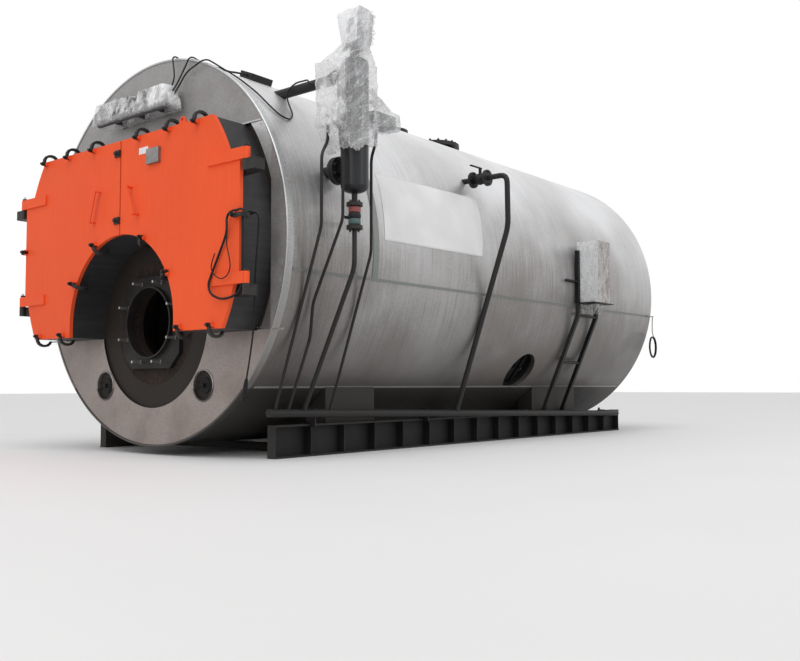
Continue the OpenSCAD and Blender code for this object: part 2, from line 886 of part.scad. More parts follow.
// Bellows valve with two flanges under the column
module column_drain_valve() {
    color("#1c1c1e")
    translate(column_pos) {
        translate([0, 0, valve_top]) cylinder(d = 42, h = 65 - fit);
        translate([0, 0, valve_top - 26]) cylinder(d = 116, h = 26);
        translate([0, 0, valve_top - valve_len]) cylinder(d = 116, h = 26);
        translate([0, 0, valve_top - valve_len + 20]) cylinder(d = 66, h = valve_len - 40);
        translate([0, 0, valve_top - valve_len / 2]) sphere(d = 92);
    }
}

// Routes of the small drains, in order from the front, relative to shell axis and front
drain_routes = [
    [[1590, 290, 780], [1590, 290, 670], [1610, 207, 560], [1610, 207, 60], [header_x, 204, 0]],
    [[column_x, column_y - gauge_offset, 759], [column_x, 340, 665], [1690, 336, 570], [1690, 336, 115],
        [1440, 300, -456], [1385, 328, -700], [header_x, 333, 0]],
    [[1620, 767, switch_z - 46], [1620, 767, 750], [1575, 767, 640], [1575, 767, -60], [header_x, 767, 0]]
];
drain_tops = [for (r = drain_routes) r[0] + [0, front_y, axis_z]];
header_fall = 0.0235;

// Height of the header's centre line above the ground
function header_z(y) = axis_z - 1224 - header_fall * y;

// Route moved into place, with its last point on the header's centre line
function placed(r) = [for (i = [0 : len(r) - 1])
    i < len(r) - 1 ? r[i] + [0, front_y, axis_z] : [r[i][0], front_y + r[i][1], header_z(r[i][1])]];

module header_bar(extra) {
    y0 = 150;
    y1 = shell_len - 280;
    pipe([header_x, front_y + y0, header_z(y0)], [header_x, front_y + y1, header_z(y1)],
        header_d + 2 * extra);
}

module drain_pipes() {
    color("#202022")
    difference() {
        union() {
            for (r = drain_routes) pipe_run(placed(r), drain_d, 45, [0, 1, 0]);
            pipe_run(placed([
                [column_x, column_y, valve_top - valve_len - fit],
                [column_x, column_y, -205],
                [header_x, column_y, 0]]), column_drain_d, 60, [0, 1, 0]);
        }
        header_bar(fit);
    }
}

clip_places = [for (share = [0.106, 0.341, 0.614, 0.904]) shell_len * share];

// Header with the plates that hold it on the base beam
module drain_header() {
    color("#202022") {
        header_bar(0);
        for (y = clip_places) let (z = header_z(y), foot = min(z - header_d / 2 - 8, beam_h - 20)) difference() {
            translate([0, front_y + y + 5, 0]) rotate([90, 0, 0]) linear_extrude(10)
                polygon([
                    [beam_x + fit, foot],
                    [header_x, foot],
                    [header_x, z + header_d / 2 + 8],
                    [beam_x - 40, max(z + header_d / 2, beam_h) + 12],
                    [beam_x - 40, beam_h + fit],
                    [beam_x + fit, beam_h + fit]]);
            header_bar(fit);
        }
    }
}

// Side valve and its discharge pipe

module side_valve() {
    x0 = swept_x(shell_r, side_valve_z) - 40;
    color("#1f1f21")
    translate([0, front_y + side_valve_y, axis_z + side_valve_z]) {
        rod_x(side_pipe_d / 2, x0, 1360 - x0);
        rod_x(72, 1350, 20);
        rod_x(72, 1500, 20);
        rod_x(36, 1370, 130);
        translate([1435, 0, 0]) sphere(r = 52);
        translate([1435, 0, 40]) cylinder(r = 14, h = 60);
        translate([1435 - 9, -150, 92]) cube([18, 170, 10]);
    }
}

module side_valve_pipe() {
    color("#1f1f21")
    difference() {
        pipe_run(placed([
            [1520.3, side_valve_y, side_valve_z],
            [1715, side_valve_y, side_valve_z],
            [1715, side_valve_y + 10, 340],
            [header_x, side_valve_y, 0]]), side_pipe_d, 70, [0, 1, 0.001]);
        header_bar(fit);
    }
}

side_box_y = shell_len - 1800;
side_box_w = 260;
side_box_x = jacket_r + 9;
side_box_z = -200;
leg_w = 38;
leg_x = jacket_r + 22;
leg_knee = -330;
leg_places = [side_box_y - 44, side_box_y + side_box_w + 81];
foot_x = beam_x - 21;
foot_z = beam_h + fit - axis_z;

// Distance of a leg from the centre plane at the given height
function leg_at(z) = z > leg_knee ? leg_x
    : leg_x + (foot_x - leg_x) * (z - leg_knee) / (foot_z - leg_knee);

module side_box() {
    color("#c8cbcc") translate([0, front_y + side_box_y, axis_z]) {
        translate([side_box_x, 0, side_box_z + fit]) cube([228, side_box_w, 620]);
        translate([side_box_x + 148, 0, side_box_z + 130]) rod_y(70, side_box_w, 40);
    }
}

// Two bent legs with rungs and a shelf that carry the side box from the base beam
module side_box_bracket() {
    color("#202022") {
        for (i = [0, 1]) translate([0, 0, axis_z]) plate(front_y + leg_places[i], leg_w) difference() {
            bent_bar([[leg_x, i == 0 ? 330 : side_box_z - 8], [leg_x, leg_knee],
                [leg_at(foot_z - 60), foot_z - 60]], [leg_w, leg_w, leg_w], 3);
            translate([foot_x - 200, foot_z - 200]) square([400, 200]);
        }
        for (z = [leg_knee, -800])
            translate([leg_at(z), front_y + leg_places[0] + leg_w / 2, axis_z + z])
                rod_y(15, 0, leg_places[1] - leg_places[0], $fn = 24);
        translate([leg_x, front_y + leg_places[0] - 216, axis_z + 10]) rod_y(14, 0, 217, $fn = 24);
        translate([leg_x - leg_w / 2, front_y + leg_places[0], axis_z + side_box_z - 8])
            cube([214, leg_places[1] + leg_w - leg_places[0], 8]);
    }
}

// Manhole with its neck, oval cover and bridges
module side_manhole() {
    color("#262422")
    translate([0, front_y + manhole_y, axis_z]) rotate([0, manhole_angle, 0]) {
        difference() {
            rod_x(manhole_d / 2 - fit, shell_r - 40, 100);
            rod_x(manhole_d / 2 - 16, shell_r - 41, 102);
        }
        difference() {
            rod_x(manhole_d / 2 - 15, shell_r - 20, 24);
            rod_x(40, shell_r - 10, 24);
        }
        for (y = [-90, 90]) translate([shell_r, y - 14, -165]) cube([26, 28, 330]);
        for (y = [-90, 90]) translate([shell_r + 20, y, 0]) rotate([0, 90, 0])
            cylinder(r = 20, h = 28, $fn = 6);
    }
}

// Gauge manifold over the doors

manifold_x0 = -580;
manifold_x1 = 340;
manifold_y = -120;
manifold_z = 1090;
manifold_plates = [-400, -100, 160];

module gauge_manifold() {
    color("#4c4f52")
    translate([0, front_y + manifold_y, axis_z + manifold_z]) {
        rod_x(30, manifold_x0, manifold_x1 - manifold_x0);
        for (x = manifold_plates) {
            translate([x - 4, 0, -22]) cube([8, -manifold_y, 44]);
            translate([x - 30, -manifold_y - 6, -36]) cube([60, 6, 72]);
        }
        for (x = [manifold_x0 + 180, -120, manifold_x1 - 180]) translate([x, 0, 0]) {
            cylinder(r = 10, h = 60);
            translate([0, 30, 80]) rotate([90, 0, 0]) cylinder(r = 50, h = 50);
        }
    }
}

module manifold_film() {
    color("#e2e5e7", 0.6)
    translate([0, front_y + manifold_y, axis_z + manifold_z]) difference() {
        manifold_form(0);
        manifold_form(film_t);
        for (x = manifold_plates) translate([x - 4 - fit, 0, -22 - fit])
            cube([8 + 2 * fit, 200, 44 + 2 * fit]);
        translate([0, -manifold_y, -manifold_z]) for (c = [cable_left, cable_middle, cable_right])
            pipe(c[0], c[1], cable_d + 6);
    }
}

module manifold_form(i) {
    translate([manifold_x0 - 40 + i, 0, 0]) rotate([90, 0, 90])
        linear_extrude(manifold_x1 - manifold_x0 + 80 - 2 * i) hull() {
            translate([-35, -15]) circle(r = 60 - i, $fn = 32);
            translate([35, -15]) circle(r = 60 - i, $fn = 32);
            translate([-25, 90]) circle(r = 55 - i, $fn = 32);
            translate([25, 90]) circle(r = 55 - i, $fn = 32);
        }
}

// Free cords: middle lines relative to the shell axis and the front sheets

cable_d = 12;
cable_left = [[313, -100, 1190], [315, -62, 1300], [272, -40, 1430], [258, -34, 1466],
    [250, -16, 1489], [246, 14, 1495], [250, 70, 1482], [330, 250, 1458], [430, 326, 1432],
    [510, 356, 1414], [543, 378, 1406], [553, 400, 1404], [553, 419.7, 1404]];
cable_middle = [[350, -100, 1183], [366, -64, 1259], [428, -40, 1380], [440, -30, 1420],
    [447, -12, 1441], [451, 16, 1446], [460, 70, 1432], [490, 220, 1415], [540, 310, 1395],
    [584, 362, 1387], [600, 396, 1386], [601, 419.7, 1386]];
cable_right = [[350, -100, 1139], [366, -50, 1239], [435, -36, 1323], [543, -36, 1356],
    [606, -32, 1374], [644, -14, 1378], [664, 14, 1366], [720, 66, 1320], [860, 100, 1224],
    [1010, 130, 1103], [1090, 150, 1024], [1132, 170, 976], [1174, 205, 925], [1193, 254, 901],
    [1190, 312, 904], [1140, 382, 967], [1043, 430, 1089], [1036, 428, 1146], [1062, 436, 1191],
    [1107, 450, 1222], [1165, 468, 1231], [1215, 460, 1225], [1253, 442, 1195], [1300, 436, 1176],
    [1380, 434, 1176], [1450, 440, 1200], [1490, 452, 1226], [1530, 474, 1235],
    [1559.6, 480, 1235]];
door_cord_d = 16;
door_cord = [[1458, -330, 50], [1456, -335, 80], [1440, -341, 106], [1412, -343, 119],
    [1380, -336, 121], [1346, -328, 120.4], [1316, -328, 120.4], [1284, -332, 108],
    [1262, -334, 70], [1248, -328, -30], [1150, -324, -198], [1092, -335, -325],
    [1086, -336, -370], [1104, -336, -410], [1140, -334, -436], [1214, -330, -458],
    [1300, -324, -450], [1348, -308, -424], [1370, -294, -375], [1372, -291, -320],
    [1372, -291, -240], [1372, -291, -80], [1371, -291, 114]];
thin_cord_d = 8;
thin_cord = [[1374, -361, 60], [1366, -361, 83], [1356, -361, 97], [1343, -361, 104.2],
    [1331, -361, 104.5], [1319, -361, 104.2], [1306, -361, 97], [1298, -360, 80],
    [1294, -358, 30], [1290, -352, -20], [1280, -348, -93], [1304, -346, -189],
    [1314, -346, -255], [1285, -346, -306], [1221, -346, -325], [1150, -346, -290],
    [1122, -346, -235], [1156, -346, -151]];
lead_d = 12;
lead = [[1360.3, -200, 120], [1376, -200, 120], [1399, -199, 114], [1415, -197, 98],
    [1421, -194, 72], [1416, -190, 36], [1400, -183, -60], [1362, -168, -300], [1334, -152, -600],
    [1306, -150, -780], [1262, -150, -987]];
plug_end = [1231, -150, -1137];
tail_d = 9;
coil_r = 117;
coil_z = -592;

module cord(route, d, ref) {
    swept_tube([for (p = route) p + [0, front_y, axis_z]], d / 2, 8, ref);
}

module gauge_cable_left() { color("#1b1b1c") cord(cable_left, cable_d, [1, 0, 0]); }
module gauge_cable_middle() { color("#1b1b1c") cord(cable_middle, cable_d, [1, 0, 0]); }
module gauge_cable_right() { color("#1b1b1c") cord(cable_right, cable_d, [0.3, 1, 0.2]); }
module door_cord_thick() { color("#1b1b1c") cord(door_cord, door_cord_d, [0, 1, 0.01]); }
module door_cord_thin() { color("#1b1b1c") cord(thin_cord, thin_cord_d, [0, 1, 0.01]); }
module hanging_lead() { color("#1b1b1c") cord(lead, lead_d, [0, 1, 0.01]); }

// Round plug at the end of the hanging lead
module lead_plug() {
    a = lead[len(lead) - 1];
    v = plug_end - a;
    color("#222224")
    translate(a + [0, front_y, axis_z]) rotate([0, acos(v[2] / norm(v)), atan2(v[1], v[0])])
        rotate_extrude() polygon([[0, fit], [10, fit], [14, 30], [15, 34], [15, 112], [18, 116],
            [18, norm(v)], [12, norm(v)], [12, norm(v) - 22], [0, norm(v) - 22]]);
}

// Coil of cable that hangs at the rear end of the side strip
module rear_coil() {
    color("#1b1b1c")
    translate([coil_x, rear_y + coil_y, axis_z + coil_z]) rotate([0, 90, 7])
        rotate_extrude() translate([coil_r, 0]) circle(r = 13, $fn = 32);
}

// The coil's free end, up to the hook
module rear_coil_tail() {
    top = coil_hook_z - fit;
    low = coil_z + coil_r + 13 + fit;
    color("#1b1b1c")
    swept_tube([for (p = [[0, top], [-6, (top + low) / 2], [0, low]])
        [coil_x + p[0], rear_y + coil_y, axis_z + p[1]]], tail_d / 2, 10, [0, 1, 0]);
}

// Crown

module steam_outlet() {
    color("#2b2b2d")
    translate([0, front_y + steam_outlet_y, axis_z]) difference() {
        union() {
            translate([0, 0, shell_r - 40]) cylinder(d = steam_outlet_d - 2 * fit, h = jacket_r - shell_r + 40 + 100);
            translate([0, 0, jacket_r + 70]) cylinder(d = 340, h = 30);
        }
        translate([0, 0, shell_r - 41]) cylinder(d = 200, h = 400);
        for (i = [0 : 7]) rotate([0, 0, 22.5 + i * 45]) translate([147.5, 0, jacket_r + 60])
            cylinder(d = 22, h = 60);
    }
}

module crown_fittings() {
    color("#2b2b2d") {
        for (y = safety_y) translate([0, front_y + y, axis_z]) difference() {
            union() {
                translate([0, 0, shell_r - 20]) cylinder(d = safety_d - 2 * fit, h = jacket_r - shell_r + 100);
                translate([0, 0, jacket_r + 58]) cylinder(d = 185, h = 22);
            }
            translate([0, 0, shell_r - 21]) cylinder(d = 65, h = 400);
        }
        translate([0, front_y + crown_manhole_y, axis_z]) {
            translate([0, 0, shell_r - 20]) cylinder(d = crown_manhole_d - 2 * fit, h = jacket_r - shell_r + 80);
            translate([0, 0, jacket_r + 60]) cylinder(d = 520, h = 40);
        }
        difference() {
            translate([0, front_y + 420, axis_z]) rotate([0, 22.5, 0])
                translate([-70, 0, jacket_r - 20]) cube([140, 220, 72]);
            translate([0, 0, axis_z]) rod_y(jacket_r + fit, front_y, shell_len, $fn = 720);
        }
    }
}

// Rear end

rear_box_depth = 330;
rear_box_r = box_r - 10;

module rear_box_profile(inset) {
    intersection() {
        circle(r = rear_box_r - inset);
        translate([-rear_box_r, -box_bottom + inset])
            square([2 * rear_box_r, box_top + box_bottom - 2 * inset]);
    }
}

module rear_sheet() {
    color("#a8abac")
    translate([0, 0, axis_z]) plate(rear_y - sheet_t, sheet_t) difference() {
        circle(r = jacket_r);
        intersection() {
            circle(r = rear_box_r + 2);
            translate([-rear_box_r - 2, -box_bottom - 2])
                square([2 * rear_box_r + 4, box_top + box_bottom + 4]);
        }
    }
}

module rear_smokebox() {
    color("#3b3a3c")
    translate([0, 0, axis_z]) difference() {
        plate(rear_plate_y, plate_setback + rear_box_depth) rear_box_profile(0);
        plate(rear_plate_y - 1, plate_setback + rear_box_depth - box_plate + 1)
            rear_box_profile(box_plate);
        translate([0, 0, flue_z]) rod_y(flue_d / 2 - 8, rear_y, rear_box_depth + 50);
    }
}

flue_d = 620;
flue_z = 330;

module rear_covers() {
    color("#3d3c3e")
    for (s = [-1, 1]) translate([s * 720, rear_y + rear_box_depth, axis_z - 60]) {
        translate([-230, 0, -380]) cube([460, 20, 900]);
        for (z = [-250, 70, 390]) translate([-18, 20, z]) cube([36, 26, 60]);
    }
}

module flue_outlet() {
    color("#343336")
    translate([0, rear_y + rear_box_depth, axis_z + flue_z]) difference() {
        union() {
            rod_y(flue_d / 2, 0, 160);
            rod_y(flue_d / 2 + 50, 140, 20);
        }
        rod_y(flue_d / 2 - 8, -1, 200);
        for (i = [0 : 11]) rotate([0, 15 + i * 30, 0]) translate([flue_d / 2 + 27, 0, 0])
            rod_y(8, 130, 60);
    }
}

// Base

saddle_w = 170;
saddle_x = beam_x - 45;

module saddle(side, y, len) {
    difference() {
        translate([0, front_y + y, beam_h]) {
            translate([side > 0 ? saddle_x - 80 : -saddle_x, 0, 0]) cube([80, len, 14]);
            for (k = len > 700 ? [0, len / 2 - 7, len - 14] : [0, len - 14]) translate([side > 0 ? saddle_x - saddle_w : -saddle_x, k, 0])
                cube([saddle_w, 14, 700]);
            translate([side > 0 ? saddle_x - 16 : -saddle_x, 0, 0]) cube([16, len, 600]);
        }
        translate([0, 0, axis_z]) rod_y(jacket_r + fit, front_y, shell_len, $fn = 720);
        translate([0, 0, axis_z]) cube([4000, 9000, 600], center = true);
    }
}

module saddles() {
    color("#232324")
    for (s = [-1, 1]) {
        saddle(s, 830, 570);
        saddle(s, shell_len - 1990, 890);
    }
}

module channel_2d() {
    difference() {
        square([beam_w, beam_h]);
        translate([beam_web, beam_flange]) square([beam_w, beam_h - 2 * beam_flange]);
    }
}

// Channel beam with its flanges outwards and plate stiffeners between them
module base_beam(side) {
    bay = beam_len / beam_bays;
    color("#2a2a2c")
    translate([side * (beam_x - beam_w), beam_y, 0]) scale_side(side) {
        translate([0, beam_len, 0]) rotate([90, 0, 0]) linear_extrude(beam_len) channel_2d();
        for (i = [0 : beam_bays]) translate([beam_web, i * (beam_len - 10) / beam_bays, beam_flange])
            cube([beam_w - beam_web - 6, 10, beam_h - 2 * beam_flange]);
    }
}

module scale_side(side) {
    if (side > 0) children();
    else mirror([1, 0, 0]) children();
}

module base_beam_left() { base_beam(-1); }
module base_beam_right() { base_beam(1); }

module base_cross_members() {
    w = beam_x - beam_w;
    color("#2a2a2c")
    for (y = [-shell_len / 2 + 900, 0, shell_len / 2 - 900])
        translate([-w, y - 60, 0]) difference() {
            cube([2 * w, 120, cross_h]);
            translate([-1, 8, 8]) cube([2 * w + 2, 104, cross_h]);
        }
}

jacket();
jacket_straps();
front_ring();
front_sheet_upper();
front_sheet_lower();
pressure_shell();
tube_plates();
smoke_tubes();
furnace_tube();
throat_quarl();
burner_plate();
throat_collar();
burner_studs();
handhole_covers();
smokebox();
left_door_panel();
left_door_lining();
left_door_straps();
left_door_clamps();
right_door_panel();
right_door_lining();
right_door_straps();
right_door_clamps();
right_door_plate();
left_hinge_brackets();
right_hinge_brackets();
level_column();
water_branch();
steam_branch();
level_controls();
column_film();
column_drain_valve();
drain_pipes();
drain_header();
side_valve();
side_valve_pipe();
side_box();
side_box_bracket();
side_manhole();
gauge_manifold();
manifold_film();
gauge_cable_left();
gauge_cable_middle();
gauge_cable_right();
door_cord_thick();
door_cord_thin();
hanging_lead();
lead_plug();
rear_coil();
rear_coil_tail();
steam_outlet();
crown_fittings();
rear_sheet();
rear_smokebox();
rear_covers();
flue_outlet();
saddles();
base_beam_left();
base_beam_right();
base_cross_members();
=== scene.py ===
import math
import random

import bpy
from mathutils import Matrix, Vector, noise


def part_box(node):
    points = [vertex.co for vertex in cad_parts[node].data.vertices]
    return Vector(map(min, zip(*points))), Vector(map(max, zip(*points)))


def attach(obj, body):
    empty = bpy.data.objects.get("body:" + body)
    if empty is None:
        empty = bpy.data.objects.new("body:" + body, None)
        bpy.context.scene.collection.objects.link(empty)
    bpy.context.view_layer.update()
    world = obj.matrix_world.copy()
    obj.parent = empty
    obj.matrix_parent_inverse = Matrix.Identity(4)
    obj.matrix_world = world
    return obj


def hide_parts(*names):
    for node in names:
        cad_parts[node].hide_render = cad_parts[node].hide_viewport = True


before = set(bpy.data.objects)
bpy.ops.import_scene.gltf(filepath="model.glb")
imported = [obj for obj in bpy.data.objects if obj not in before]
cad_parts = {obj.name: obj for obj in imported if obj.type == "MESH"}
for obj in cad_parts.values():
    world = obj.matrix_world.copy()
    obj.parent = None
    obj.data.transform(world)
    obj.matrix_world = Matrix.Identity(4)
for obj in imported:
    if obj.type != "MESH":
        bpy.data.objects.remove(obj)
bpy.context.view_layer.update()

# Main places of the boiler, in metres
FRONT = -2.93
REAR = 2.93
AXIS = 1.56
JACKET_R = 1.483
DOOR_FACE = FRONT - 0.305
HINGE_X = 1.412
HINGE_Y = -3.223
HINGE_HEIGHTS = (0.5, -0.325)
COLUMN = Vector((1.66, FRONT + 0.49, AXIS))
LAP_Z = 0.511


# Camera, at the photograph's place

def make_camera():
    yaw, pitch, roll = 0.68377, 0.06012, -0.00221
    ahead = Vector((-math.sin(yaw) * math.cos(pitch), math.cos(yaw) * math.cos(pitch), math.sin(pitch)))
    camera = bpy.data.objects.new("camera", bpy.data.cameras.new("camera"))
    bpy.context.scene.collection.objects.link(camera)
    camera.data.sensor_width = 36
    camera.data.lens = 41.43
    turn = ahead.to_track_quat("-Z", "Y").to_matrix() @ Matrix.Rotation(roll, 3, "Z")
    camera.matrix_world = Matrix.Translation((5.974, -7.2292, 0.5225)) @ turn.to_4x4()
    camera.data.clip_end = 200
    bpy.context.scene.camera = camera


make_camera()


# Free cords, along the points of their routes in the CAD source

def to_frame(points):
    return [Vector((x / 1000, FRONT + y / 1000, AXIS + z / 1000)) for x, y, z in points]


def eased(points, parts=4):
    """Points of one smooth curve through the given ones."""
    ends = [points[0] * 2 - points[1]] + points + [points[-1] * 2 - points[-2]]
    made = []
    for a, b, c, d in zip(ends, ends[1:], ends[2:], ends[3:]):
        for k in range(parts):
            t = k / parts
            made.append(0.5 * (2 * b + (c - a) * t + (2 * a - 5 * b + 4 * c - d) * t * t
                               + (3 * b - a - 3 * c + d) * t ** 3))
    return made + [points[-1]]


def length_of(points):
    return sum((b - a).length for a, b in zip(points, points[1:]))


def lay_cord(name, points, diameter, nodes, body="boiler"):
    """A cord as a curve whose points carry its radius, so that its box takes in its thickness."""
    data = bpy.data.curves.new(name, "CURVE")
    data.dimensions = "3D"
    line = data.splines.new("POLY")
    line.points.add(len(points) - 1)
    for spot, place in zip(line.points, points):
        spot.co = (*place, 1)
        spot.radius = diameter / 2
    data.bevel_depth = 1
    data.bevel_resolution = 3
    data.use_fill_caps = True
    piece = bpy.data.objects.new(name, data)
    bpy.context.scene.collection.objects.link(piece)
    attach(piece, body)
    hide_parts(*nodes)
    round(length_of(points), 2)
    return piece


CABLE_D = 0.012
CABLE_LEFT = to_frame([
    (313, -100, 1190), (315, -62, 1300), (272, -40, 1430), (258, -34, 1466), (250, -16, 1489), (246, 14, 1495),
    (250, 70, 1482), (330, 250, 1458), (430, 326, 1432), (510, 356, 1414), (543, 378, 1406), (553, 400, 1404),
    (553, 419.7, 1404)])
CABLE_MIDDLE = to_frame([
    (350, -100, 1183), (366, -64, 1259), (428, -40, 1380), (440, -30, 1420), (447, -12, 1441), (451, 16, 1446),
    (460, 70, 1432), (490, 220, 1415), (540, 310, 1395), (584, 362, 1387), (600, 396, 1386), (601, 419.7, 1386)])
CABLE_RIGHT = to_frame([
    (350, -100, 1139), (366, -50, 1239), (435, -36, 1323), (543, -36, 1356), (606, -32, 1374), (644, -14, 1378),
    (664, 14, 1366), (720, 66, 1320), (860, 100, 1224), (1010, 130, 1103), (1090, 150, 1024), (1132, 170, 976),
    (1174, 205, 925), (1193, 254, 901), (1190, 312, 904), (1140, 382, 967), (1043, 430, 1089), (1036, 428, 1146),
    (1062, 436, 1191), (1107, 450, 1222), (1165, 468, 1231), (1215, 460, 1225), (1253, 442, 1195), (1300, 436, 1176),
    (1380, 434, 1176), (1450, 440, 1200), (1490, 452, 1226), (1530, 474, 1235), (1559.6, 480, 1235)])
DOOR_CORD = to_frame([
    (1458, -330, 50), (1456, -335, 80), (1440, -341, 106), (1412, -343, 119), (1380, -336, 121), (1346, -328, 120.4),
    (1316, -328, 120.4), (1284, -332, 108), (1262, -334, 70), (1248, -328, -30), (1150, -324, -198),
    (1092, -335, -325), (1086, -336, -370), (1104, -336, -410), (1140, -334, -436), (1214, -330, -458),
    (1300, -324, -450), (1348, -308, -424), (1370, -294, -375), (1372, -291, -320), (1372, -291, -240),
    (1372, -291, -80), (1371, -291, 114)])
THIN_CORD = to_frame([
    (1374, -361, 60), (1366, -361, 83), (1356, -361, 97), (1343, -361, 104.2), (1331, -361, 104.5),
    (1319, -361, 104.2), (1306, -361, 97), (1298, -360, 80), (1294, -358, 30), (1290, -352, -20), (1280, -348, -93),
    (1304, -346, -189), (1314, -346, -255), (1285, -346, -306), (1221, -346, -325), (1150, -346, -290),
    (1122, -346, -235), (1156, -346, -151)])
LEAD = to_frame([
    (1360.3, -200, 120), (1376, -200, 120), (1399, -199, 114), (1415, -197, 98), (1421, -194, 72), (1416, -190, 36),
    (1400, -183, -60), (1362, -168, -300), (1334, -152, -600), (1306, -150, -780), (1262, -150, -987)])
COIL = Vector((1.482, REAR + 0.02, AXIS - 0.592))
COIL_R = 0.117
COIL_TURN = math.radians(7)
COIL_TURNS, TURN_POINTS = 5, 26
HOOK_Z = AXIS - 0.241


def coil_route():
    """From the hook down to the coil, then five turns that lie beside each other."""
    across = Vector((-math.sin(COIL_TURN), math.cos(COIL_TURN), 0))
    out = Vector((math.cos(COIL_TURN), math.sin(COIL_TURN), 0))
    lanes = [(0.0085, 0), (-0.0045, 0.0075), (-0.0045, -0.0075), (0.0045, -0.007), (0.0045, 0.007)]
    points = [COIL + Vector((0, 0, HOOK_Z - COIL.z - 0.0003)), COIL + Vector((-0.004, 0, 0.25)),
              COIL + Vector((-0.005, 0, 0.185))]
    for i in range(COIL_TURNS * TURN_POINTS):
        turn, part = divmod(i, TURN_POINTS)
        share = part / TURN_POINTS
        (r0, w0), (r1, w1) = lanes[turn], lanes[min(turn + 1, COIL_TURNS - 1)]
        ease = share ** 3
        radius = COIL_R + r0 + (r1 - r0) * ease
        side = w0 + (w1 - w0) * ease
        angle = math.radians(90 - 12) - 2 * math.pi * (turn + share)
        round_it = across * radius * math.cos(angle) + Vector((0, 0, radius * math.sin(angle)))
        points.append(COIL + round_it + out * side)
    return points


cords = [
    lay_cord("gauge_cable_left_rubber", eased(CABLE_LEFT), CABLE_D, ["gauge_cable_left"]),
    lay_cord("gauge_cable_middle_rubber", eased(CABLE_MIDDLE), CABLE_D, ["gauge_cable_middle"]),
    lay_cord("gauge_cable_right_rubber", eased(CABLE_RIGHT, 3), CABLE_D, ["gauge_cable_right"]),
    lay_cord("door_cord_thick_rubber", eased(DOOR_CORD), 0.016, ["door_cord_thick"],
             body="right_door"),
    lay_cord("door_cord_thin_rubber", eased(THIN_CORD), 0.008, ["door_cord_thin"],
             body="right_door"),
    lay_cord("hanging_lead_rubber", eased(LEAD), CABLE_D, ["hanging_lead"]),
    lay_cord("rear_coil_cable", coil_route(), 0.009, ["rear_coil", "rear_coil_tail"]),
]


# Shader maths

class Line:
    """One value in a material; arithmetic on it adds Math nodes."""

    def __init__(self, finish, socket):
        self.finish, self.socket = finish, socket

    def sum_of(self, how, first, second):
        return self.finish.node("Math", {"operation": how}, {0: first, 1: second})

    def __add__(self, other): return self.sum_of("ADD", self, other)
    def __radd__(self, other): return self.sum_of("ADD", other, self)
    def __sub__(self, other): return self.sum_of("SUBTRACT", self, other)
    def __rsub__(self, other): return self.sum_of("SUBTRACT", other, self)
    def __mul__(self, other): return self.sum_of("MULTIPLY", self, other)


class Finish:
    """A material of the boiler, made from nodes."""

    def __init__(self, name, **constants):
        self.material = bpy.data.materials.new(name)
        self.material.use_nodes = True
        self.tree = self.material.node_tree
        self.shader = self.tree.nodes["Principled BSDF"]
        self.place = self.node("TexCoord", out="Object")
        for socket, value in constants.items():
            self.feed(self.shader.inputs[socket.replace("_", " ")], value)

    def feed(self, socket, value):
        if isinstance(value, Line):
            self.tree.links.new(value.socket, socket)
        elif isinstance(value, tuple) and len(value) == 3 and socket.type == "RGBA":
            socket.default_value = (*value, 1)
        else:
            socket.default_value = value

    def node(self, kind, settings=None, sockets=None, out=0):
        made = self.tree.nodes.new("ShaderNode" + kind)
        for key, value in (settings or {}).items():
            setattr(made, key, value)
        for key, value in (sockets or {}).items():
            self.feed(made.inputs[key], value)
        return Line(self, made.outputs[out])

    def mix(self, share, low, high):
        """The colour low where share is 0, high where it is 1."""
        return self.node("Mix", {"data_type": "RGBA"}, {0: share, 6: low, 7: high}, out=2)

    def steps(self, value, low, high, to_low=0.0, to_high=1.0):
        """value turned smoothly from to_low to to_high between low and high."""
        return self.node("MapRange", {"interpolation_type": "SMOOTHSTEP"},
                         {0: value, 1: low, 2: high, 3: to_low, 4: to_high})

    def stretched(self, scale=(1, 1, 1), rotation=(0, 0, 0)):
        return self.node("Mapping", {}, {"Vector": self.place, "Scale": scale, "Rotation": rotation})

    def noise(self, scale, detail=3.0, roughness=0.5, vector=None, distortion=0.0):
        return self.node("TexNoise", {}, {"Vector": vector or self.place, "Scale": scale, "Detail": detail,
                                          "Roughness": roughness, "Distortion": distortion})

    def cells(self, scale, vector=None, feature="F1", out="Distance"):
        return self.node("TexVoronoi", {"feature": feature},
                         {"Vector": vector or self.place, "Scale": scale}, out=out)

    def axis(self, which):
        return self.node("SeparateXYZ", {}, {0: self.place}, out=which)

    def bump(self, height, distance, strength=1.0, under=None):
        sockets = {"Height": height, "Distance": distance, "Strength": strength}
        if under:
            sockets["Normal"] = under
        return self.node("Bump", {}, sockets)

    def wear(self, low=0.49, high=0.56):
        """1 on raised edges, from the mesh's own pointiness."""
        return self.steps(self.node("NewGeometry", out="Pointiness"), low, high)

    def set(self, **links):
        """Puts values or Lines into the shader's sockets."""
        for socket, value in links.items():
            self.feed(self.shader.inputs[socket.replace("_", " ")], value)
        return self


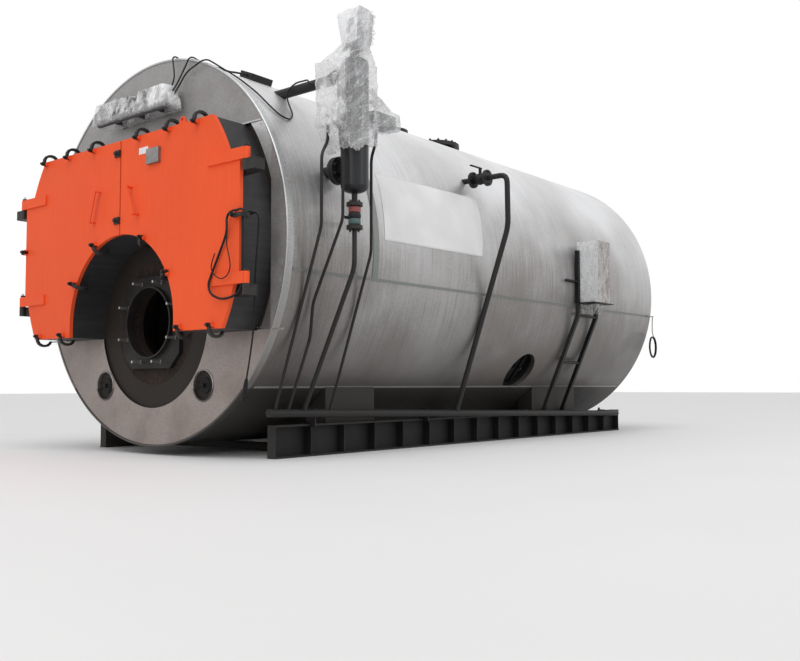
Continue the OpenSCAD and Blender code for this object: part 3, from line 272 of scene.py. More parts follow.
def jacket_sheet(name, bright, dull, grime_and_low_shade, rough=0.36, metallic=0.55):
    """Rolled sheet: lighter towards the top as a painted highlight, grime and painted shade towards the bottom,
    painted shade below the lap seams, and marks that run round the boiler.
    """
    f = Finish(name)
    round_it = f.stretched((0.7, 26, 0.7))
    streak = f.noise(2.2, 5, 0.6, round_it)
    broad = f.noise(1.1, 3, 0.5)
    spots = f.noise(46, 4, 0.65)
    z = f.axis("Z")
    # darker towards the bottom: part grime, part painted shade of the underside
    low = f.steps(z + (broad - 0.5) * 0.5, 0.2, 1.6, 1, 0)
    # painted highlight: the sheet turns lighter towards the top, as if lit from above; the tone below mixes it with
    # random marks
    painted_top_highlight = f.steps(z + (broad - 0.5) * 0.6, 1.4, 2.6)
    shade = f.steps(streak * 0.3 + broad * 0.5 + spots * 0.2, 0.36, 0.64) * 0.38 + painted_top_highlight * 0.62
    colour = f.mix(shade, dull, bright)
    colour = f.mix(low * 0.9, colour, grime_and_low_shade)
    # painted shade: near black below the lap seams, where the sheet faces down
    painted_shade_under_lap = f.steps(z + (spots - 0.5) * 0.01, LAP_Z - 0.011, LAP_Z + 0.005, 0.8, 0)
    colour = f.mix(painted_shade_under_lap, colour, (0.04, 0.036, 0.034))
    ripple = f.noise(1.6, 2, 0.4, f.stretched((1, 0.55, 1)))
    dents = f.bump(ripple, 0.012, 0.35)
    fine = f.bump(streak, 0.0008, 0.25, dents)
    return f.set(Base_Color=colour, Metallic=metallic, Normal=fine,
                 Roughness=rough + (spots - 0.5) * 0.16 + (streak - 0.5) * 0.2 + low * 0.08)


def galvanised(name, light, dark, stain):
    f = Finish(name)
    crystals = f.cells(95, feature="F1", out="Color")
    grain = f.node("SeparateXYZ", {}, {0: crystals}, out="X")
    mottle = f.noise(150, 3, 0.7)
    broad = f.noise(2.4, 4, 0.6)
    colour = f.mix(grain * 0.45 + mottle * 0.55, dark, light)
    colour = f.mix(f.steps(broad, 0.42, 0.72, 0, 0.55), colour, stain)
    scratches = f.noise(9, 4, 0.7, f.stretched((1.4, 1, 0.35), rotation=(0, 0.5, 0)), 0.8)
    return f.set(Base_Color=colour, Metallic=0.45, Roughness=0.34 + grain * 0.14 + (1 - broad) * 0.12,
                 Normal=f.bump(mottle * 0.5 + scratches * 0.5, 0.0012, 0.3, f.bump(broad, 0.01, 0.25)))


def painted(name, colour, dust, rough=0.45, dusty=0.35, worn=(0.2, 0.19, 0.18), grain=1.0, shine=0.5):
    """Paint with dust on what lies flat and worn raised edges."""
    f = Finish(name, Specular_IOR_Level=shine)
    broad = f.noise(3.1, 4, 0.6)
    fine = f.noise(85, 3, 0.6)
    up = f.node("SeparateXYZ", {}, {0: f.node("NewGeometry", out="Normal")}, out="Z")
    lying = f.steps(up + (broad - 0.5) * 0.5, 0.25, 0.95)
    darker, lighter = tuple(0.78 * c for c in colour), tuple(min(1, 1.2 * c) for c in colour)
    body = f.mix(f.steps(broad * 0.7 + fine * 0.3, 0.3, 0.7), darker, lighter)
    body = f.mix((lying * 0.8 + f.steps(broad, 0.5, 0.8, 0, 0.4)) * dusty, body, dust)
    body = f.mix(f.wear() * 0.5, body, worn)
    return f.set(Base_Color=body, Roughness=rough + (fine - 0.5) * 0.18 + lying * 0.15,
                 Normal=f.bump(fine * 0.6 + broad * 0.4, 0.0009 * grain, 0.35))


def orange_paint():
    f = Finish("door_orange_paint", Specular_IOR_Level=0.12)
    broad = f.noise(1.7, 3, 0.5)
    orange_peel = f.noise(140, 2, 0.5)
    run = f.noise(6, 4, 0.6, f.stretched((5, 5, 0.5)))
    colour = f.mix(f.steps(broad * 0.6 + run * 0.4, 0.3, 0.7), (0.77, 0.044, 0.003), (0.88, 0.062, 0.007))
    dirt = f.steps(f.noise(11, 6, 0.7), 0.62, 0.8, 0, 0.5)
    colour = f.mix(dirt, colour, (0.42, 0.06, 0.022))
    colour = f.mix(f.wear(0.5, 0.6) * 0.35, colour, (0.9, 0.2, 0.08))
    return f.set(Base_Color=colour, Roughness=0.44 + (broad - 0.5) * 0.12 + dirt * 0.3,
                 Normal=f.bump(orange_peel, 0.0005, 0.2, f.bump(broad, 0.01, 0.2)))


def smokebox_paint():
    f = Finish("smokebox_grey_paint", Specular_IOR_Level=0.25)
    streak = f.noise(3, 5, 0.65, f.stretched((9, 0.6, 9)))
    broad = f.noise(1.8, 4, 0.55)
    fine = f.noise(120, 3, 0.6)
    colour = f.mix(f.steps(streak * 0.6 + broad * 0.4, 0.3, 0.7), (0.026, 0.026, 0.028), (0.046, 0.046, 0.049))
    dust = f.steps(broad + (fine - 0.5) * 0.25, 0.5, 0.78, 0, 0.35)
    colour = f.mix(dust, colour, (0.085, 0.08, 0.078))
    return f.set(Base_Color=colour, Roughness=0.44 + (streak - 0.5) * 0.2 + dust * 0.25,
                 Normal=f.bump(streak, 0.002, 0.3, f.bump(fine, 0.0005, 0.3)))


def burner_seat_paint():
    f = Finish("burner_seat_paint", Specular_IOR_Level=0.2)
    broad = f.noise(4, 5, 0.65)
    fine = f.noise(70, 4, 0.7)
    colour = f.mix(f.steps(broad, 0.35, 0.68), (0.01, 0.009, 0.009), (0.02, 0.017, 0.016))
    colour = f.mix(f.steps(fine * 0.7 + broad * 0.3, 0.58, 0.7, 0, 0.5), colour, (0.04, 0.03, 0.026))
    return f.set(Base_Color=colour, Roughness=0.5 + (fine - 0.5) * 0.3,
                 Normal=f.bump(fine, 0.002, 0.35, f.bump(broad, 0.006, 0.3)))


def bright_steel(name, colour=(0.5, 0.49, 0.47), rust=0.25, rough=0.36):
    f = Finish(name)
    fine = f.noise(60, 4, 0.7)
    broad = f.noise(14, 4, 0.6)
    rusty = f.steps(fine * 0.6 + broad * 0.4, 0.5, 0.68, 0, rust * 2)
    body = f.mix(f.steps(broad, 0.3, 0.7), tuple(0.7 * c for c in colour), colour)
    body = f.mix(rusty, body, (0.13, 0.052, 0.022))
    return f.set(Base_Color=body, Metallic=0.85 - rusty * 0.6, Roughness=rough + rusty * 0.4,
                 Normal=f.bump(fine, 0.0006, 0.4))


def refractory():
    f = Finish("refractory_cast", Specular_IOR_Level=0.2)
    lumps = f.noise(38, 5, 0.7)
    broad = f.noise(5, 4, 0.6)
    colour = f.mix(f.steps(lumps, 0.35, 0.7), (0.02, 0.014, 0.012), (0.042, 0.029, 0.024))
    colour = f.mix(f.steps(broad, 0.45, 0.7, 0, 0.6), colour, (0.014, 0.011, 0.01))
    return f.set(Base_Color=colour, Roughness=0.88, Normal=f.bump(lumps, 0.006, 0.6))


def lining_board():
    f = Finish("lining_board")
    fibre = f.noise(28, 6, 0.72)
    blocks = f.steps(f.cells(7, f.stretched((1, 0.01, 1)), "DISTANCE_TO_EDGE"), 0.0, 0.03)
    colour = f.mix(f.steps(fibre, 0.3, 0.7), (0.43, 0.39, 0.33), (0.62, 0.58, 0.5))
    colour = f.mix(f.steps(f.noise(2.6, 4, 0.6), 0.42, 0.68, 0, 0.55), colour, (0.2, 0.15, 0.11))
    colour = f.mix(blocks, (0.16, 0.13, 0.1), colour)
    return f.set(Base_Color=colour, Roughness=0.93, Normal=f.bump(fibre * 0.5 + blocks * 0.5, 0.004, 0.6))


def cable_rubber():
    f = Finish("cable_sheath_black", Specular_IOR_Level=0.2)
    broad = f.noise(9, 3, 0.6)
    fine = f.noise(240, 2, 0.5)
    colour = f.mix(f.steps(broad, 0.35, 0.7), (0.006, 0.006, 0.007), (0.014, 0.013, 0.013))
    return f.set(Base_Color=colour, Roughness=0.42 + (broad - 0.5) * 0.2, Normal=f.bump(fine, 0.0004, 0.25))


def stretch_film(name, thin, thick, scale, tint, sides=0.0, bunched=None, bare=None):
    """Clear film: see-through where it lies flat, white where it is doubled, pulled into streaks or creased.

    bunched and bare are an axis and two places on it, between which it turns whiter or clearer."""
    f = Finish(name)

    def drawn(length, rotation):
        return f.node("Mapping", {"vector_type": "TEXTURE"},
                      {"Vector": f.place, "Rotation": rotation, "Scale": (1, 1, length)})

    def ridges(pattern, width):
        return f.steps(f.node("Math", {"operation": "ABSOLUTE"}, {0: pattern - 0.5}), 0.0, width, 1, 0)

    slanting, upright, lying = drawn(7, (-0.96, 0, 0)), drawn(4, (0.15, 0.2, 0)), drawn(5, (-1.35, 0.3, 0))
    layers = f.steps(f.noise(scale * 0.55, 2, 0.5, slanting), 0.47, 0.6)
    doubled = f.steps(f.noise(scale * 0.3, 3, 0.55, upright, 0.4), 0.46, 0.6)
    lines = ridges(f.noise(scale, 2, 0.5, slanting), 0.028)
    pleats = ridges(f.noise(scale * 0.8, 2, 0.5, upright), 0.02)
    cross = ridges(f.noise(scale * 1.4, 2, 0.5, lying), 0.014)
    facing = f.node("SeparateXYZ", {}, {0: f.node("NewGeometry", out="Normal")}, out="X")
    thinner = 1 - f.steps(facing, 0.35, 0.8) * sides
    wide = layers * 0.34 + doubled * 0.4
    if bunched:
        wide = wide + f.steps(f.axis(bunched[0]), *bunched[1:]) * 0.55
    if bare:
        wide = wide * f.steps(f.axis(bare[0]), *bare[1:])
    white = f.node("Math", {"operation": "ADD", "use_clamp": True},
                   {0: wide * thinner, 1: lines * 0.42 + pleats * 0.25 + cross * 0.2})
    height = lines * 0.4 + pleats * 0.35 + cross * 0.25
    return f.set(Base_Color=f.mix(white, tuple(0.8 * c for c in tint), tint), Alpha=thin + white * (thick - thin),
                 Roughness=0.16 + doubled * 0.16,
                 Normal=f.bump(height, 0.004, 0.7, f.bump(f.noise(scale * 2.2, 3, 0.6, slanting), 0.003, 0.5)))


def box_casing():
    """White casing, turned grey by painted shade on the side away from the boiler, with rusty brown streaks on that
    side.
    """
    f = Finish("side_box_casing")
    facing = f.node("SeparateXYZ", {}, {0: f.node("NewGeometry", out="Normal")}, out="X")
    run = f.noise(13, 4, 0.7, f.stretched((1, 1, 0.45)))
    stain = f.steps(run, 0.44, 0.56) * f.steps(facing, 0.4, 0.8)
    broad = f.noise(5, 3, 0.5)
    colour = f.mix(f.steps(broad, 0.35, 0.65), (0.7, 0.71, 0.72), (0.78, 0.79, 0.8))
    # painted shade: the side away from the boiler turned grey
    colour = f.mix(f.steps(facing, 0.4, 0.8) * 0.85, colour, (0.34, 0.325, 0.31))
    colour = f.mix(stain * 0.75, colour, (0.2, 0.12, 0.095))
    return f.set(Base_Color=colour, Roughness=0.4 + stain * 0.2, Normal=f.bump(broad, 0.002, 0.2))


def vinyl():
    f = Finish("blank_white_vinyl")
    broad = f.noise(3.2, 3, 0.5)
    fine = f.noise(120, 2, 0.5)
    colour = f.mix(f.steps(broad, 0.35, 0.7), (0.72, 0.72, 0.73), (0.8, 0.8, 0.81))
    return f.set(Base_Color=colour, Roughness=0.38 + (broad - 0.5) * 0.16,
                 Normal=f.bump(broad, 0.006, 0.2, f.bump(fine, 0.0002, 0.2)))


MATERIALS = {
    # jacket sheets: the first colour is the top with painted highlight, the last the bottom with grime and painted
    # shade
    "jacket": jacket_sheet("jacket_sheet", (0.76, 0.765, 0.78), (0.235, 0.22, 0.21), (0.09, 0.078, 0.071)),
    "trim": jacket_sheet("cover_strip_sheet", (0.28, 0.295, 0.275), (0.18, 0.19, 0.175), (0.13, 0.125, 0.115),
                         0.45, 0.3),
    # lap edge: a much lighter copy of the jacket sheet, a painted highlight along the fold
    "edge": jacket_sheet("folded_edge_painted_highlight", (0.66, 0.66, 0.65), (0.5, 0.5, 0.49), (0.42, 0.41, 0.39), 0.3, 0.4),
    "ring": jacket_sheet("rolled_ring_sheet", (0.56, 0.57, 0.575), (0.36, 0.365, 0.365), (0.22, 0.2, 0.185),
                         0.3, 0.6),
    "front": galvanised("front_sheet_galvanised", (0.4, 0.39, 0.385), (0.25, 0.24, 0.235), (0.2, 0.19, 0.185)),
    "front_low": galvanised("lower_sheet_galvanised", (0.38, 0.33, 0.305), (0.23, 0.195, 0.18),
                            (0.18, 0.145, 0.13)),
    "smokebox": smokebox_paint(),
    "orange": orange_paint(),
    "burner": burner_seat_paint(),
    "black": painted("pipe_black_paint", (0.008, 0.008, 0.009), (0.035, 0.032, 0.03), 0.42, 0.16,
                     (0.04, 0.037, 0.035), shine=0.2),
    "fittings": painted("cast_black_fittings", (0.007, 0.007, 0.008), (0.04, 0.036, 0.033), 0.5, 0.18,
                        (0.045, 0.04, 0.037), shine=0.25),
    "hatch": painted("hatch_black_paint", (0.006, 0.006, 0.006), (0.02, 0.018, 0.017), 0.6, 0.1,
                     (0.02, 0.018, 0.017), shine=0.15),
    "beam": painted("beam_dark_paint", (0.013, 0.013, 0.014), (0.06, 0.056, 0.052), 0.58, 0.35,
                    (0.05, 0.043, 0.038), grain=2, shine=0.25),
    "column": painted("column_dark_paint", (0.008, 0.009, 0.011), (0.04, 0.039, 0.038), 0.34, 0.12,
                      (0.04, 0.04, 0.042), shine=0.28),
    "controls": painted("control_casing_dark", (0.035, 0.037, 0.042), (0.12, 0.115, 0.11), 0.42, 0.2,
                        (0.25, 0.25, 0.25)),
    "pale_case": painted("control_casing_pale", (0.42, 0.41, 0.39), (0.3, 0.26, 0.22), 0.5, 0.3, (0.5, 0.5, 0.5)),
    "plate": bright_steel("name_plate_metal", (0.3, 0.29, 0.285), 0.08, 0.45),
    "steel": bright_steel("stud_steel"),
    "inner": painted("soot_dark_plate", (0.014, 0.011, 0.01), (0.03, 0.022, 0.019), 0.62, 0.35,
                     (0.03, 0.024, 0.02), grain=3, shine=0.2),
    "refractory": refractory(),
    "lining": lining_board(),
    "rubber": cable_rubber(),
    "film": stretch_film("stretch_film_clear", 0.3, 0.95, 30, (0.93, 0.935, 0.95), 0.6,
                         ("Z", AXIS + 1.3, AXIS + 1.42)),
    "thin_film": stretch_film("manifold_film_clear", 0.14, 0.92, 34, (0.92, 0.925, 0.94), 0, ("X", 0.08, 0.26),
                              ("Z", AXIS + 1.04, AXIS + 1.1)),
    "box_film": stretch_film("box_film_clear", 0.06, 0.6, 56, (0.82, 0.82, 0.82)),
    "casing": box_casing(),
    "banner": vinyl(),
    "dial": painted("dial_face_white", (0.72, 0.72, 0.7), (0.5, 0.49, 0.47), 0.3, 0.1, (0.6, 0.6, 0.6)),
    "red": painted("valve_red_paint", (0.3, 0.012, 0.014), (0.12, 0.04, 0.04), 0.4, 0.15, shine=0.25),
    "teal": painted("valve_teal_paint", (0.006, 0.1, 0.095), (0.05, 0.09, 0.085), 0.4, 0.15, shine=0.25),
}


def dress(finish, *names):
    for name in names:
        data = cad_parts[name].data
        data.materials.clear()
        data.materials.append(MATERIALS[finish].material)


dress("jacket", "jacket", "rear_sheet")
dress("trim", "jacket_straps")
dress("ring", "front_ring")
dress("front", "front_sheet_upper")
dress("front_low", "front_sheet_lower")
dress("inner", "pressure_shell", "tube_plates", "smoke_tubes", "furnace_tube")
dress("refractory", "throat_quarl")
dress("burner", "burner_plate", "throat_collar")
dress("steel", "burner_studs")
dress("hatch", "handhole_covers", "side_manhole")
dress("fittings", "left_door_clamps", "right_door_clamps", "left_hinge_brackets",
      "right_hinge_brackets", "column_drain_valve", "side_valve")
dress("smokebox", "smokebox", "rear_smokebox", "rear_covers", "flue_outlet")
dress("orange", "left_door_panel", "right_door_panel", "left_door_straps", "right_door_straps")
dress("lining", "left_door_lining", "right_door_lining")
dress("plate", "right_door_plate")
dress("column", "level_column")
dress("black", "water_branch", "steam_branch", "drain_pipes", "drain_header", "side_valve_pipe",
      "side_box_bracket", "steam_outlet", "crown_fittings")
dress("controls", "level_controls", "gauge_manifold")
dress("casing", "side_box")
dress("rubber", "lead_plug")
dress("beam", "saddles", "base_beam_left", "base_beam_right", "base_cross_members")


# Making pieces

ALONG_X = (0, math.pi / 2, 0)
ALONG_Y = (math.pi / 2, 0, 0)
AHEAD = Vector((0, -1, 0))


def add(kind, **how):
    """A primitive with its place, turn and scale in the mesh."""
    bpy.ops.object.select_all(action="DESELECT")
    getattr(bpy.ops.mesh, "primitive_%s_add" % kind)(**how)
    bpy.ops.object.transform_apply(location=True, rotation=True, scale=True)
    return bpy.context.object


def cylinder(place, r, depth, sides, turn=(0, 0, 0), **how):
    return add("cylinder", vertices=sides, radius=r, depth=depth, location=place, rotation=turn, **how)


def ring(place, r, thick, parts, sides=10, turn=ALONG_Y):
    return add("torus", major_radius=r, minor_radius=thick, major_segments=parts, minor_segments=sides,
               location=place, rotation=turn)


def block(place, size, turn=(0, 0, 0)):
    return add("cube", size=1, location=place, rotation=turn, scale=size)


def grid(x, y):
    """Flat square of side 1 about the origin."""
    return add("grid", x_subdivisions=x, y_subdivisions=y, size=1, location=(0, 0, 0))


def work_on(piece, *others):
    bpy.ops.object.select_all(action="DESELECT")
    for one in (piece, *others):
        one.select_set(True)
    bpy.context.view_layer.objects.active = piece


def pick(piece, test):
    """Edit mode with the faces that pass the test on their middle and direction."""
    work_on(piece)
    bpy.ops.object.mode_set(mode="EDIT")
    bpy.ops.mesh.select_mode(type="FACE")
    bpy.ops.mesh.select_all(action="DESELECT")
    bpy.ops.object.mode_set(mode="OBJECT")
    for face in piece.data.polygons:
        face.select = bool(test(face.center, face.normal))
    bpy.ops.object.mode_set(mode="EDIT")


def done():
    bpy.ops.object.mode_set(mode="OBJECT")


def facing_up(centre, normal):
    return normal.z > 0.9


def step_face(piece, test, inset, move):
    """Insets the faces that pass the test and moves them."""
    pick(piece, test)
    bpy.ops.mesh.inset(thickness=inset)
    bpy.ops.transform.translate(value=move)
    done()
    return piece


def modify(piece, kind, **how):
    work_on(piece)
    made = piece.modifiers.new(kind.lower(), kind)
    for key, value in how.items():
        setattr(made, key, value)
    bpy.ops.object.modifier_apply(modifier=made.name)
    return piece


def bevel(piece, width, segments=2, **how):
    return modify(piece, "BEVEL", width=width, segments=segments, **how)


def soften(piece, angle=35):
    work_on(piece)
    bpy.ops.object.shade_smooth_by_angle(angle=math.radians(angle))
    return piece


def fuse(pieces):
    work_on(*pieces)
    if len(pieces) > 1:
        bpy.ops.object.join()
    return bpy.context.view_layer.objects.active


def keep(piece, name, finish, body="boiler"):
    piece.name = name
    piece.data.materials.clear()
    piece.data.materials.append(MATERIALS[finish].material)
    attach(piece, body)
    return piece


def spread(model, places):
    """Copies of a model, each with its own mesh, its Z along the given direction, fused to one piece."""
    made = []
    for place, towards, *size in places:
        one = bpy.data.objects.new("copy", model.data.copy())
        turn = Vector(towards).to_track_quat("Z", "Y").to_matrix().to_4x4()
        one.data.transform(Matrix.Translation(place) @ turn @ Matrix.Scale(size[0] if size else 1, 4))
        bpy.context.scene.collection.objects.link(one)
        made.append(one)
    return fuse(made)


def rivet_model(r=0.007, height=0.0035):
    """Pressed rivet: a low round head with a flat rim."""
    head = add("uv_sphere", segments=12, ring_count=6, radius=r, location=(0, 0, 0), scale=(1, 1, height / r))
    work_on(head)
    bpy.ops.object.mode_set(mode="EDIT")
    bpy.ops.mesh.select_all(action="SELECT")
    bpy.ops.mesh.bisect(plane_co=(0, 0, -0.0004), plane_no=(0, 0, 1), clear_inner=True, use_fill=True)
    done()
    return soften(head, 60)


def bolt_model(r=0.012, height=0.010, thread=0.008, washer=0.003):
    """Hexagon nut with chamfered corners on a washer, and the end of its bolt."""
    nut = cylinder((0, 0, washer + height / 2), r, height, 6)
    step_face(nut, facing_up, r * 0.16, (0, 0, r * 0.12))
    under = cylinder((0, 0, washer / 2), r * 1.25, washer, 20)
    end = cylinder((0, 0, washer + height + thread / 2), r * 0.52, thread, 14)
    step_face(end, facing_up, r * 0.14, (0, 0, r * 0.1))
    return soften(fuse([nut, under, end]), 30)


RIVET = rivet_model()
BOLT = bolt_model()


def around(centre, radius, count, axis, start=0.0):
    """Places round a circle about an axis."""
    side = Vector(axis).orthogonal().normalized()
    return [Vector(centre) + Matrix.Rotation(start + 2 * math.pi * k / count, 3, Vector(axis)) @ side * radius
            for k in range(count)]


def on_jacket(degrees, y, lift=0.0):
    """Point of the jacket's surface at an angle above the horizontal on the column's side, and its direction."""
    out = Vector((math.cos(math.radians(degrees)), 0, math.sin(math.radians(degrees))))
    return out * (JACKET_R + lift) + Vector((0, y, AXIS)), out


# Rivets of the front ring, the cover strips and the front sheets

STRIP_DEGREES = -9.2
BAND_Y = FRONT + 0.93
PLATE_RISE = 0.0043


def rivets():
    count = 96
    places = []
    for k in range(count):
        place, out = on_jacket(360 * k / count, FRONT + 0.052, PLATE_RISE)
        places.append((place, out, 0.8))
    keep(spread(RIVET, places), "ring_rivets", "ring")

    places = []
    y = FRONT + 0.12
    while y < REAR - 0.1:
        place, out = on_jacket(STRIP_DEGREES, y, 0.006)
        places.append((place, out, 0.7))
        y += 0.13
    keep(spread(RIVET, places), "strip_rivets", "trim")

    places = []
    for k in range(19):
        for y in (BAND_Y - 0.022, BAND_Y + 0.022):
            place, out = on_jacket(-6.5 + k * 2.9, y, PLATE_RISE)
            places.append((place, out, 0.7))
    keep(spread(RIVET, places), "band_rivets", "trim")

    places = []
    for side in (-1, 1):
        for k in range(8):
            for z in (-0.632, -0.668):
                places.append((Vector((side * (1.20 + k * 0.028), FRONT, AXIS + z)), AHEAD, 0.62))
    rim_r = 1.455
    for start, sweep, count in ((188, 164, 36), (-20, 220, 30)):
        for k in range(count):
            a = math.radians(start + k * sweep / (count - 1))
            places.append((Vector((rim_r * math.cos(a), FRONT, AXIS + rim_r * math.sin(a))), AHEAD, 0.7))
    keep(spread(RIVET, places), "front_sheet_rivets", "front")


# Fasteners of the flanges, covers and brackets

def bolt_circle(centre, r, count, towards, size, start=0.78):
    axis = [abs(v) for v in towards]
    return [(place, towards, size) for place in around(centre, r, count, axis, start)]


def fasteners():
    left, right, up, down = (-1, 0, 0), (1, 0, 0), (0, 0, 1), (0, 0, -1)
    crown = AXIS + JACKET_R
    bolts = []
    branch_x = COLUMN.x - 0.093
    for x, towards in ((branch_x - 0.084, left), (branch_x - 0.036, right)):
        bolts += bolt_circle((x, COLUMN.y, AXIS + 0.505), 0.08, 8, towards, 0.95, 0.39)
    for z, towards in ((0.255, up), (0.065, down)):
        bolts += bolt_circle((COLUMN.x, COLUMN.y, AXIS + z), 0.042, 4, towards, 0.75)
    for x, towards in ((1.35, left), (1.37, right), (1.50, left), (1.52, right)):
        bolts += bolt_circle((x, FRONT + 2.4, AXIS + 0.79), 0.054, 4, towards, 0.7)
    cover = [(x, z) for x in (-0.21, 0, 0.21) for z in (-0.36, 0.5)]
    cover += [(x, z) for x in (-0.21, 0.21) for z in (-0.15, 0.07, 0.29)]
    for middle in (-0.72, 0.72):
        bolts += [(Vector((middle + x, REAR + 0.35, AXIS - 0.06 + z)), (0, 1, 0)) for x, z in cover]
    bolts += bolt_circle((0, FRONT + 3.65, crown + 0.1), 0.225, 16, up, 1.2, 0.0)
    for y in (1.5, 4.3):
        bolts += bolt_circle((0, FRONT + y, crown + 0.058), 0.072, 4, down, 0.8)
    for share in (0.106, 0.341, 0.614, 0.904):
        bolts.append((Vector((1.08, FRONT + 5.86 * share - 0.005, 0.262)), AHEAD, 0.8))
    keep(spread(BOLT, bolts), "flange_bolts", "fittings")


def pin_heads():
    """Round head with a split pin on top of each hinge pin."""
    heads = []
    for side in (-1, 1):
        for height in HINGE_HEIGHTS:
            x, top = side * HINGE_X, AXIS + height + 0.048
            head = cylinder((x, HINGE_Y, top + 0.0035), 0.019, 0.008, 32)
            heads.append(step_face(head, facing_up, 0.004, (0, 0, 0.003)))
            heads.append(ring((x, HINGE_Y, top + 0.017), 0.008, 0.0022, 20, 8, (math.pi / 2, 0, 0.4)))
    keep(soften(fuse(heads)), "hinge_pin_heads", "fittings")


def hand_hole_rims():
    """Rolled edges and lips of the two openings in the lower front sheets."""
    rims = []
    z = AXIS - 1.03
    for x in (-0.62, 0.62):
        rims.append(ring((x, FRONT - 0.001, z), 0.114, 0.0065, 64))
        lip = cylinder((x, FRONT + 0.009, z), 0.1095, 0.022, 64, ALONG_Y, end_fill_type="NOTHING")
        rims.append(modify(lip, "SOLIDIFY", thickness=0.0015, offset=-1))
    keep(soften(fuse(rims)), "hand_hole_rims", "ring")


def valve_colours():
    """Painted bands of the valve under the column, and the lever behind it."""
    x, y, z = COLUMN.x, COLUMN.y, AXIS + 0.16
    for height, name, finish in ((0.205, "valve_red_band", "red"), (0.118, "valve_teal_band", "teal")):
        band = cylinder((x, y, AXIS + height), 0.044, 0.036, 40)
        for top in (1, -1):
            step_face(band, lambda c, n: n.z * top > 0.9, 0.007, (0, 0, 0.004 * top))
        bevel(band, 0.002, limit_method="ANGLE")
        keep(soften(band), name, finish)
    stem = bevel(cylinder((x - 0.052, y, z), 0.011, 0.05, 24, ALONG_X), 0.0015, limit_method="ANGLE")
    lever = block((x - 0.079, y + 0.055, z), (0.006, 0.15, 0.022))
    pick(lever, lambda c, n: n.y > 0.9)
    bpy.ops.mesh.extrude_region_move(TRANSFORM_OT_translate={"value": (-0.02, 0.03, 0)})
    bpy.ops.transform.resize(value=(1, 1, 0.7))
    done()
    bevel(lever, 0.002)
    keep(soften(fuse([stem, lever])), "valve_lever", "fittings")


def dials():
    """Faces, rims and pointers of the manifold's three gauges, and the two switches between them."""
    y, z = FRONT - 0.1415, AXIS + 1.17
    faces, rims, cases, caps = [], [], [], []
    for x in (-0.4, -0.12, 0.16):
        face = cylinder((x, y, z), 0.044, 0.003, 48, ALONG_Y)
        faces.append(step_face(face, lambda c, n: n.y < -0.9, 0.006, (0, 0.0006, 0)))
        rims.append(ring((x, y - 0.0005, z), 0.0475, 0.0045, 48))
        rims.append(bevel(block((x - 0.01, y - 0.0025, z + 0.008), (0.003, 0.001, 0.036), (0, 0.9, 0)), 0.0004, 1))
    for x in (-0.17, 0.03):
        cases.append(bevel(block((x, y - 0.0055, z - 0.002), (0.058, 0.05, 0.076)), 0.004))
        caps.append(bevel(block((x + 0.056, y - 0.0235, z + 0.022), (0.038, 0.02, 0.05)), 0.003))
    keep(soften(fuse(cases)), "switch_cases", "pale_case")
    keep(soften(fuse(caps)), "switch_caps", "fittings")
    keep(soften(fuse(faces)), "gauge_faces", "dial")
    keep(soften(fuse(rims)), "gauge_rims", "fittings")


# Stretch film


def tapered(low, high, top=(1, 1), shift=(0, 0)):
    """Block whose upper face is resized and moved."""
    low, high = Vector(low), Vector(high)
    made = block((low + high) / 2, tuple(high - low))
    if top != (1, 1) or shift != (0, 0):
        pick(made, facing_up)
        bpy.ops.transform.resize(value=(top[0], top[1], 1))
        bpy.ops.transform.translate(value=(shift[0], shift[1], 0))
        done()
    return made


def crumple(piece, depth, scale, keep_in, seed):
    """Moves the points of a film: flat facets between sharp slanting creases, on broad folds."""
    mesh = piece.data
    mesh.update()
    normals = [v.normal.copy() for v in mesh.vertices]
    offset = Vector((seed * 3.7, seed * 1.3, seed * 2.9))
    lean = Matrix.Rotation(0.9, 3, "X") @ Matrix.Rotation(0.3, 3, "Y")
    for vertex, normal in zip(mesh.vertices, normals):
        place = lean @ vertex.co * scale + offset
        place.z *= 0.3
        lift = 0
        for size, share in ((1, 0.65), (2.6, 0.3)):
            near = noise.voronoi(place * size)[0]
            lift += share * (1 - min(1, (near[1] - near[0]) * 2.4))
        lift += 1.2 * noise.noise(vertex.co * 5 + offset)
        vertex.co += normal * depth * lift
        vertex.co = Vector([min(max(v, least), most) for v, least, most in zip(vertex.co, *keep_in)])
    mesh.update()


def film_over(blocks, voxel, depth, scale, open_at, keep_in, seed, smoothing=4):
    """One loose skin round the blocks, open where open_at says."""
    skin = fuse(blocks)
    modify(skin, "REMESH", mode="VOXEL", voxel_size=voxel)
    modify(skin, "SMOOTH", factor=0.6, iterations=smoothing)
    crumple(skin, depth, scale, keep_in, seed)
    pick(skin, open_at)
    bpy.ops.mesh.delete(type="FACE")
    done()
    return soften(skin, 28)


def loose_end(low, high, out, width):
    """Ragged flap of film that stands off an edge of the wrapping."""
    flap = grid(8, 44)
    out, ragged = Vector(out).normalized(), random.Random(11)
    ends = [ragged.uniform(0.45, 1) for k in range(46)]
    for v in flap.data.vertices:
        across, up = v.co.x + 0.5, v.co.y + 0.5
        reach = width * across * ends[round(up * 45) % 46] * (0.5 + 0.5 * math.sin(math.pi * up) ** 0.4)
        sway = 0.012 * noise.noise(Vector((across * 3, up * 9, 4)))
        v.co = Vector(low).lerp(Vector(high), up) + out * reach + out.cross(Vector((0, 0, 1))) * sway * across * 2
    return soften(flap, 28)


